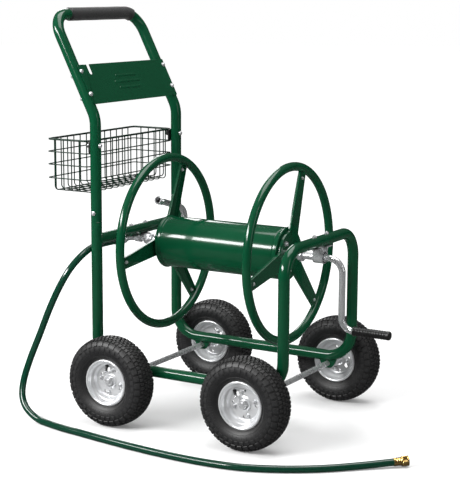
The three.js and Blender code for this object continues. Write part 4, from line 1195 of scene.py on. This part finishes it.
# A hub disc with three tapered arms: per arm its two roots and two tips, then the disc's arc to
# the next arm. Roots are filleted.
def spiderOutline(angles):
    hub, half = reel["hubDisc"], reel["hubHalf"]
    tip = reel["hoopRadius"] - reel["hoopTube"] + 1.5
    root, spread = np.sqrt(hub ** 2 - half ** 2), np.arcsin(half / hub)
    points, fillets = [], []
    for k, degrees in enumerate(angles):
        a = np.radians(degrees)
        corners = np.array([(root, -half), (tip, -reel["rimHalf"]), (tip, reel["rimHalf"]),
                            (root, half)])
        turn = np.array([(np.cos(a), np.sin(a)), (-np.sin(a), np.cos(a))])
        following = np.radians(angles[(k + 1) % 3] + (360 if k == 2 else 0))
        arc = np.linspace(a + spread, following - spread, 9)[1:-1]
        points += [corners @ turn, np.stack([hub * np.cos(arc), hub * np.sin(arc)], 1)]
        fillets += [9, 6, 6, 9] + [2] * len(arc)
    return softened(np.concatenate(points), fillets, 5, closed=True)


# Pressed trays: a flat face with its edge folded back as a flange all round, a centre boss, screws
# at the hub and a screw near each arm's tip.
def makeSpiders():
    size = dict(tipScrew=219, hubNut=47, hubNutTurn=60, screwSunk=0.6, screwSize=0.75, boss=30)
    depth, sheet = reel["spokeDepth"], reel["spokeSheet"]
    floor = depth - sheet
    levels = [(sheet + 3.6, floor), (sheet + 2, floor), (sheet + 0.6, floor - 1.4), (sheet, 0.4),
              (sheet / 2, 0), (0, 0.4), (0, depth - 1.6), (0.5, depth - 0.5), (1.6, depth),
              (3.2, depth)]
    for end, face in (("handle", -1), ("crank", 1)):
        outline = spiderOutline(spokeAngles[end])
        if face < 0:
            outline = outline[::-1] * [-1, 1]
        back, front = (hoopX[end] + face * side * depth / 2 for side in (-1, 1))
        tray = slab(outline, levels, (back, 0, reelZ), alongY * face, alongZ, fan=True)
        boss = softened([(0, -1), (size["boss"], -1), (size["boss"] - 3, 2.5),
                         (size["boss"] - 8, 3.2), (0, 3.2)], 1.5)
        shapes = [tray, turned(boss, (front, 0, reelZ), alongX * face, 48)]
        addPiece(f"spider_{end}", shapes, finishes["powderGreen"], "reel",
                 [f"reel_spider_{end}_end"])
        screws, seat = [], front - face * size["screwSunk"]
        for angle in spokeAngles[end]:
            screws.append(screwHead(spokePoint(seat, angle, size["tipScrew"]), alongX * face,
                                    size["screwSize"]))
            hubAt = spokePoint(seat, angle + size["hubNutTurn"], size["hubNut"])
            screws += hexNut(hubAt, alongX * face, 6.4, 5.4, 3.5)
            if end == "handle":
                tipBack = spokePoint(hoopX[end] + 0.2 * depth - sheet, angle, size["tipScrew"])
                screws += hexNut(tipBack, alongX, 4.6, 3.6, 2.4)
        addPiece(f"spider_screws_{end}", screws, finishes["zincPlate"], "reel")


# A rolled sheet drum: a lip and a shallow bead at each end, and a lap seam low on its back.
def makeDrum():
    seamSize = dict(angle=-62, radius=0.8, out=0.1, inset=18)
    low, high = lowOf("reel_drum")[0], highOf("reel_drum")[0]
    r, bead = reel["drumRadius"], reel["drumRadius"] - 0.9
    lip = [(r - 2, 0), (r + 1.5, 0), (r + 3, 1.0), (r + 3, 3.0), (r + 1.2, 4.6), (r, 6.5),
           (r, 13), (bead, 14.2), (bead, 15.4), (r, 16.6)]
    start = [(radius, low + along) for radius, along in lip]
    end = [(radius, high - along) for radius, along in lip[::-1]]
    shell = turned(softened(start + end, 0.8, 3), (0, 0, reelZ), alongX, 128)
    a, out = np.radians(seamSize["angle"]), r + seamSize["out"]
    seamLine = [(x, out * np.cos(a), reelZ + out * np.sin(a))
                for x in (low + seamSize["inset"], high - seamSize["inset"])]
    addPiece("drum", [shell, tube(seamLine, seamSize["radius"], 8)], finishes["powderGreen"],
             "reel", ["reel_drum"])


# The crank-side journal: a turned bar with a shoulder, a washer and a cross pin by the hub, and a
# snap ring on each side of its bearing.
def makeShaft():
    size = dict(radius=10, spigot=7.6, pinAt=30, pinHalf=19, pin=2.6)
    low, high = lowOf("reel_shaft")[0], highOf("reel_shaft")[0]
    shoulder = lowOf("crank_tube")[0] - gap
    radius, spigot = size["radius"], size["spigot"]
    bar = softened([(0, low), (radius, low), (radius, shoulder - 0.8), (radius - 0.8, shoulder),
                    (spigot, shoulder), (spigot, high - 1), (spigot - 0.8, high), (0, high)], 0.3)
    bushLow, bushHigh = lowOf("crank_end_bush")[0], highOf("crank_end_bush")[0]
    # Each collar's radius, where it starts and how wide it is.
    collars = ((19, low, 3), (14.5, low + 24, 12), (17, low + 37, 1.8), (16.5, bushLow - 2.4, 1.8),
               (13, bushLow - 5.4, 2.2), (12.6, bushHigh + 0.3, 0.7))
    made = [barrel(r, x, x + width, (0, 0, reelZ), edge=0.5) for r, x, width in collars]
    x = low + size["pinAt"]
    pin = tube([(x, 0, reelZ - size["pinHalf"]), (x, 0, reelZ + size["pinHalf"])], size["pin"], 14)
    shapes = [turned(bar, (0, 0, reelZ), alongX, 40), *made[:3], pin, *made[3:]]
    addPiece("crank_journal", shapes, finishes["zincPlate"], "reel", ["reel_shaft"])


makeHoops()
makeSpiders()
makeDrum()
makeShaft()
print("reel made")


# The strap seen along the shaft: flat ears, legs down to the shaft's height and a half round.
def strapOutline(loop, ear, half, sheet=3.0):
    outer, under = loop + sheet, ear - sheet
    arcIn = np.linspace(0, -pi, 19)[:, None]
    arcOut = arcIn[::-1]
    inside, outside = (radius * np.hstack([np.cos(arc), np.sin(arc)])
                       for radius, arc in ((loop, arcIn), (outer, arcOut)))
    return np.concatenate([[(half, ear), (loop + 4, ear), (loop, ear - 4)], inside,
                           [(-loop, ear - 4), (-loop - 4, ear), (-half, ear), (-half, under),
                            (-outer - 3, under), (-outer, under - 3)], outside,
                           [(outer, under - 3), (outer + 3, under), (half, under)]])


# Each bearing hangs under its bar by a bent strap, with two screws through the bar and their nuts
# on top of it.
def makeStraps():
    size = dict(edge=0.6, screwInset=10, screwSunk=3.2, screwSize=0.95, nutSunk=0.6)
    bushSize = dict(bore=10.3, flange=15.6, radius=13.7, width=1.6)
    for end, barX, barZ, loop in (("handle", handleLegX, crossbarZ, 9.5),
                                  ("crank", crankLegX, topBarZ, 13.9)):
        node = f"bearing_strap_{end}_end"
        low, high = lowOf(node), highOf(node)
        outline = strapOutline(loop, high[2] - reelZ, high[1])
        shapes = [plate(outline, high[0] - low[0], size["edge"], (low[0], 0, reelZ), alongY,
                        alongZ)]
        reach = high[1] - size["screwInset"]
        for y in (-reach, reach):
            head = np.array([middleOf(node)[0], y, high[2] - size["screwSunk"]])
            shapes.append(screwHead(head, -alongZ, size["screwSize"]))
            shapes += hexNut(np.array([barX, y, barZ + tubeRadius - size["nutSunk"]]), alongZ)
        addPiece(f"shaft_strap_{end}", shapes, finishes["zincPlate"], "cart", [node])
    low, high = lowOf("crank_end_bush")[0], highOf("crank_end_bush")[0]
    bore, flange, radius, width = (bushSize[k] for k in ("bore", "flange", "radius", "width"))
    sleeve = softened([(bore, low), (flange, low), (flange, low + width),
                       (radius, low + width + 0.6), (radius, high - width - 0.6),
                       (flange, high - width), (flange, high), (bore, high)], 0.3)
    addPiece("journal_bush", [turned(sleeve, (0, 0, reelZ), alongX, 40, closed=True)],
             finishes["nylonBlack"], "cart", ["crank_end_bush"])


makeStraps()


water = dict(pipe=9.5, inletBend=18.0, outletBend=38.0, fromHoop=34.5, rise=150.0, topZ=75.0,
             endY=1.0, endZ=119.0)


# A threaded collar: ridges outside and an open bore that runs dark inside.
def openCollar(end, along, radius, bore, length, threads=6):
    depth, boreDepth = 0.4, 16
    profile = np.concatenate([[(radius, -length)],
                              threadLine(radius, depth, 3 - length, -2.2, threads),
                              [(radius - 0.6, -0.6), (radius - 1.2, 0), (bore, 0),
                               (bore, -boreDepth), (0, -boreDepth - 0.5)]])
    return turned(profile, end, along, 48)


# The fixed pipe: from the hose union round a tight bend to the swivel on the reel's axis.
def makeInlet():
    size = dict(nut=14.2, nutLength=12, bead=12.2, beadLength=4, into=1.5)
    x, swivelX = middleOf("inlet_coupling")[0], middleOf("swivel_nut")[0]
    openY = lowOf("inlet_pipe")[1]
    corners = [(x, openY - size["into"], reelZ), (x, 0, reelZ), (swivelX - gap, 0, reelZ)]
    pipe = tube(bent(corners, water["inletBend"], 8), water["pipe"], 32)
    seat, start = (x, openY, reelZ), 1
    end = start + size["nutLength"]
    nut = barrel(size["nut"], start, end, seat, alongY, 1.1, 6)
    bead = barrel(size["bead"], end, end + size["beadLength"], seat, alongY)
    addPiece("inlet_elbow", [pipe, nut, bead], finishes["chrome"], "cart",
             ["inlet_pipe"])


# A hexagon swivel body with a plain ring at each end, the outer one knurled.
def makeSwivel():
    size = dict(half=13.0, hexagon=17, hexagonHalf=7, ring=14.4, ringWidth=5.4, knurl=15.2)
    origin, half, flat = (middleOf("swivel_nut")[0], 0, reelZ), size["half"], size["hexagonHalf"]
    hexagon = barrel(size["hexagon"], -flat, flat, origin, edge=1.4, sides=6)
    ends = [barrel(size["ring"], at, at + size["ringWidth"], origin, edge=0.7, sides=48)
            for at in (-half, half - size["ringWidth"])]
    knurl = knurled(size["knurl"], -half - 0.2, -half + 4.6, origin, alongX, 30, 0.45)
    addPiece("swivel_body", [hexagon, *ends, knurl], finishes["zincPlate"], "cart",
             ["swivel_nut"])


# The turning pipe: out from the hub, up round two bends and back over itself to an open, threaded
# end that the wound hose screws onto.
def makeOutlet():
    size = dict(elbowHalf=13, elbow=13.4, flange=21, joint=12.2, jointAt=12, collar=12.5,
                collarLength=20, bore=8.4, washer=8.3)
    x = hoopX["handle"] - water["fromHoop"]
    corners = np.array([(x, 0, 0), (x, water["rise"], 0), (x, water["rise"], water["topZ"]),
                        (x, water["endY"], water["endZ"])]) + [0, 0, reelZ]
    end, along = corners[3], unit(corners[3] - corners[2])
    pipeEnd = end - along * (size["collarLength"] - 3)
    path = bent(np.vstack([corners[:3], pipeEnd]), water["outletBend"], 6)
    swivelX, hubX = middleOf("swivel_nut")[0], hoopX["handle"] - reel["spokeDepth"] / 2
    origin, half = (0, 0, reelZ), size["elbowHalf"]
    axial = tube([(swivelX + gap, 0, reelZ), (hubX + 1, 0, reelZ)], water["pipe"], 32)
    elbow = turned(softened([(0, x - half), (size["elbow"] - 0.8, x - half), (size["elbow"], x),
                             (size["elbow"] - 0.8, x + half), (0, x + half)], 3.0),
                   origin, alongX, 40)
    flange = barrel(size["flange"], hubX - 5, hubX + 0.5, origin, sides=48)
    joint = barrel(size["joint"], size["jointAt"], 2 * size["jointAt"], corners[0], alongY)
    collar = openCollar(end, along, size["collar"], size["bore"], size["collarLength"])
    addPiece("outlet_bend", [tube(path, water["pipe"], 32), axial, elbow, flange, joint, collar],
             finishes["chrome"], "reel", ["outlet_pipe"])
    back, front = -15.9, -13.2
    seal = turned([(0, back), (size["washer"], back), (size["washer"], front), (0, front)],
                  end, along, 32)
    addPiece("outlet_washer", [seal], finishes["nylonBlack"], "reel")


makeInlet()
makeSwivel()
makeOutlet()
print("bearings and water path made")


crank = dict(tube=9.5, armOut=69.5, upperBend=40.0, lowerBend=35.0, ribs=11)


# A bright tube bent twice, its cross bolt, and a ribbed grip that turns on its end.
def makeCrank():
    sleeve = dict(endCap=5, bore=9.9, flange=14.2, groove=11.4, rib=12.5, ribsFrom=9, plain=22)
    low, high = lowOf("crank_grip")[0], highOf("crank_grip")[0]
    armX, throwZ = crankLegX + crank["armOut"], middleOf("crank_grip")[2]
    corners = [(lowOf("crank_tube")[0], 0, reelZ), (armX, 0, reelZ), (armX, 0, throwZ),
               (high - sleeve["endCap"], 0, throwZ)]
    bends = [crank["upperBend"], crank["lowerBend"]]
    path, radii = seamEnds(bent(corners, bends), crank["tube"])
    addPiece("crank_handle", [tube(path, radii, 36)], finishes["chrome"], "reel",
             ["crank_tube"])
    at = middleOf("crank_bolt")
    reach = alongY * (crank["tube"] - sunk)
    addPiece("crank_cross_bolt", crossBolt(at - reach, at + reach), finishes["zincPlate"],
             "reel", ["crank_bolt"])
    pitch = (high - low - sleeve["plain"]) / crank["ribs"]
    bore, flange, groove, rib = (sleeve[k] for k in ("bore", "flange", "groove", "rib"))
    profile = [(bore, low), (flange - 1, low), (flange, low + 1.2), (flange, low + 4),
               (rib - 0.1, low + 5.6)]
    for k in range(crank["ribs"]):
        at = low + sleeve["ribsFrom"] + k * pitch
        profile += [(groove, at), (rib, at + pitch * 0.18), (rib, at + pitch * 0.66),
                    (groove, at + pitch * 0.84)]
    profile += [(rib - 0.1, high - 11), (rib + 0.1, high - 4), (groove, high - 1.2), (8, high),
                (0, high)]
    inner = [(0, high - 4), (bore, high - 4)]
    grip = turned(np.concatenate([inner, softened(profile, 0.6, 3)]), (0, 0, throwZ), alongX, 48)
    addPiece("crank_grip_sleeve", [grip], finishes["gripBlack"], "crank_grip",
             ["crank_grip"])


makeCrank()
print("crank made")


# A pale, wide, flat floor of rings of growing radius, which looks darker in reflections and
# brightens away from the cart so that no horizon shows.
def makeFloor():
    size = dict(radius=26.0, rings=14, sides=96, bunching=1.6)
    tones = dict(seen=0.8, reflected=0.08, nearLift=0.14, farLift=0.68, near=0.5, far=4.5)
    radius = size["radius"] * np.linspace(0, 1, size["rings"])[::-1] ** size["bunching"]
    around = np.linspace(0, 2 * pi, size["sides"], endpoint=False)
    points = np.stack([radius[:, None] * np.cos(around), radius[:, None] * np.sin(around),
                       np.zeros((size["rings"], size["sides"]))], -1)
    floor = addObject("floor", joinedMesh("floor", [ringGrid(points, capped=False)]))
    material, tree, shader = newMaterial("floor")
    kind = tree.nodes.new("ShaderNodeLightPath")
    shader.inputs["Roughness"].default_value = 0.9
    shader.inputs["Specular IOR Level"].default_value = 0.1
    pale, dim = ((tones[tone],) * 3 for tone in ("seen", "reflected"))
    link(tree, mixColour(tree, kind.outputs["Is Glossy Ray"], pale, dim),
         shader.inputs["Base Color"])
    shader.inputs["Emission Color"].default_value = (1, 1, 1, 1)
    away = tree.nodes.new("ShaderNodeVectorMath")
    away.operation = "LENGTH"
    link(tree, tree.nodes.new("ShaderNodeTexCoord").outputs["Object"], away.inputs[0])
    fade = ranged(tree, away.outputs["Value"], tones["nearLift"], tones["farLift"],
                  tones["near"], tones["far"])
    lift = mathNode(tree, "MULTIPLY", kind.outputs["Is Camera Ray"], fade)
    link(tree, lift, shader.inputs["Emission Strength"])
    floor.data.materials.append(material)


# White for the camera and for soft light; a darker sky, brighter overhead, for reflections.
def makeWorld():
    shade = dict(soft=0.44, horizon=0.012, zenith=0.2, startsAt=0.15, endsAt=0.95)
    world = bpy.data.worlds.new("studio")
    bpy.context.scene.world = world
    world.use_nodes = True
    tree = world.node_tree
    sky = tree.nodes["Background"]
    kind = tree.nodes.new("ShaderNodeLightPath")
    way = tree.nodes.new("ShaderNodeTexCoord")
    parts = tree.nodes.new("ShaderNodeSeparateXYZ")
    link(tree, way.outputs["Generated"], parts.inputs[0])
    overhead = ranged(tree, parts.outputs["Z"], shade["horizon"], shade["zenith"],
                      shade["startsAt"], shade["endsAt"])
    glossy = mathNode(tree, "MULTIPLY", kind.outputs["Is Glossy Ray"], overhead)
    rest = mathNode(tree, "SUBTRACT", 1.0, kind.outputs["Is Glossy Ray"])
    soft = mathNode(tree, "MULTIPLY", rest, shade["soft"])
    seen = mathNode(tree, "MULTIPLY", kind.outputs["Is Camera Ray"], 1.0 - shade["soft"])
    total = mathNode(tree, "ADD", mathNode(tree, "ADD", glossy, soft), seen)
    link(tree, total, sky.inputs["Strength"])
    sky.inputs["Color"].default_value = (1, 1, 1, 1)


# Soft boxes that look at the reel: a long strip high on the left, a broad one overhead, a narrow
# tall one on the right and one behind.
def makeLights():
    target = Vector((0, 0, 0.5))
    boxes = dict(strip=dict(at=(-1.7, -2.7, 2.2), size=(2.8, 0.62), power=165),
                 overhead=dict(at=(0.2, 0.3, 3.4), size=(2.6, 2.2), power=78),
                 right=dict(at=(3.4, -0.2, 1.6), size=(0.22, 2.0), power=9),
                 back=dict(at=(-2.6, 2.8, 2.2), size=(1.2, 1.2), power=24))
    for name, box in boxes.items():
        data = bpy.data.lights.new(name, "AREA")
        data.shape = "RECTANGLE"
        data.size, data.size_y = box["size"]
        data.energy = box["power"]
        lamp = addObject(name, data)
        lamp.location = box["at"]
        lamp.rotation_euler = (target - lamp.location).to_track_quat("-Z", "Y").to_euler()


makeFloor()
makeWorld()
makeLights()
bpy.context.scene.view_settings.view_transform = "Standard"
print("stage made")
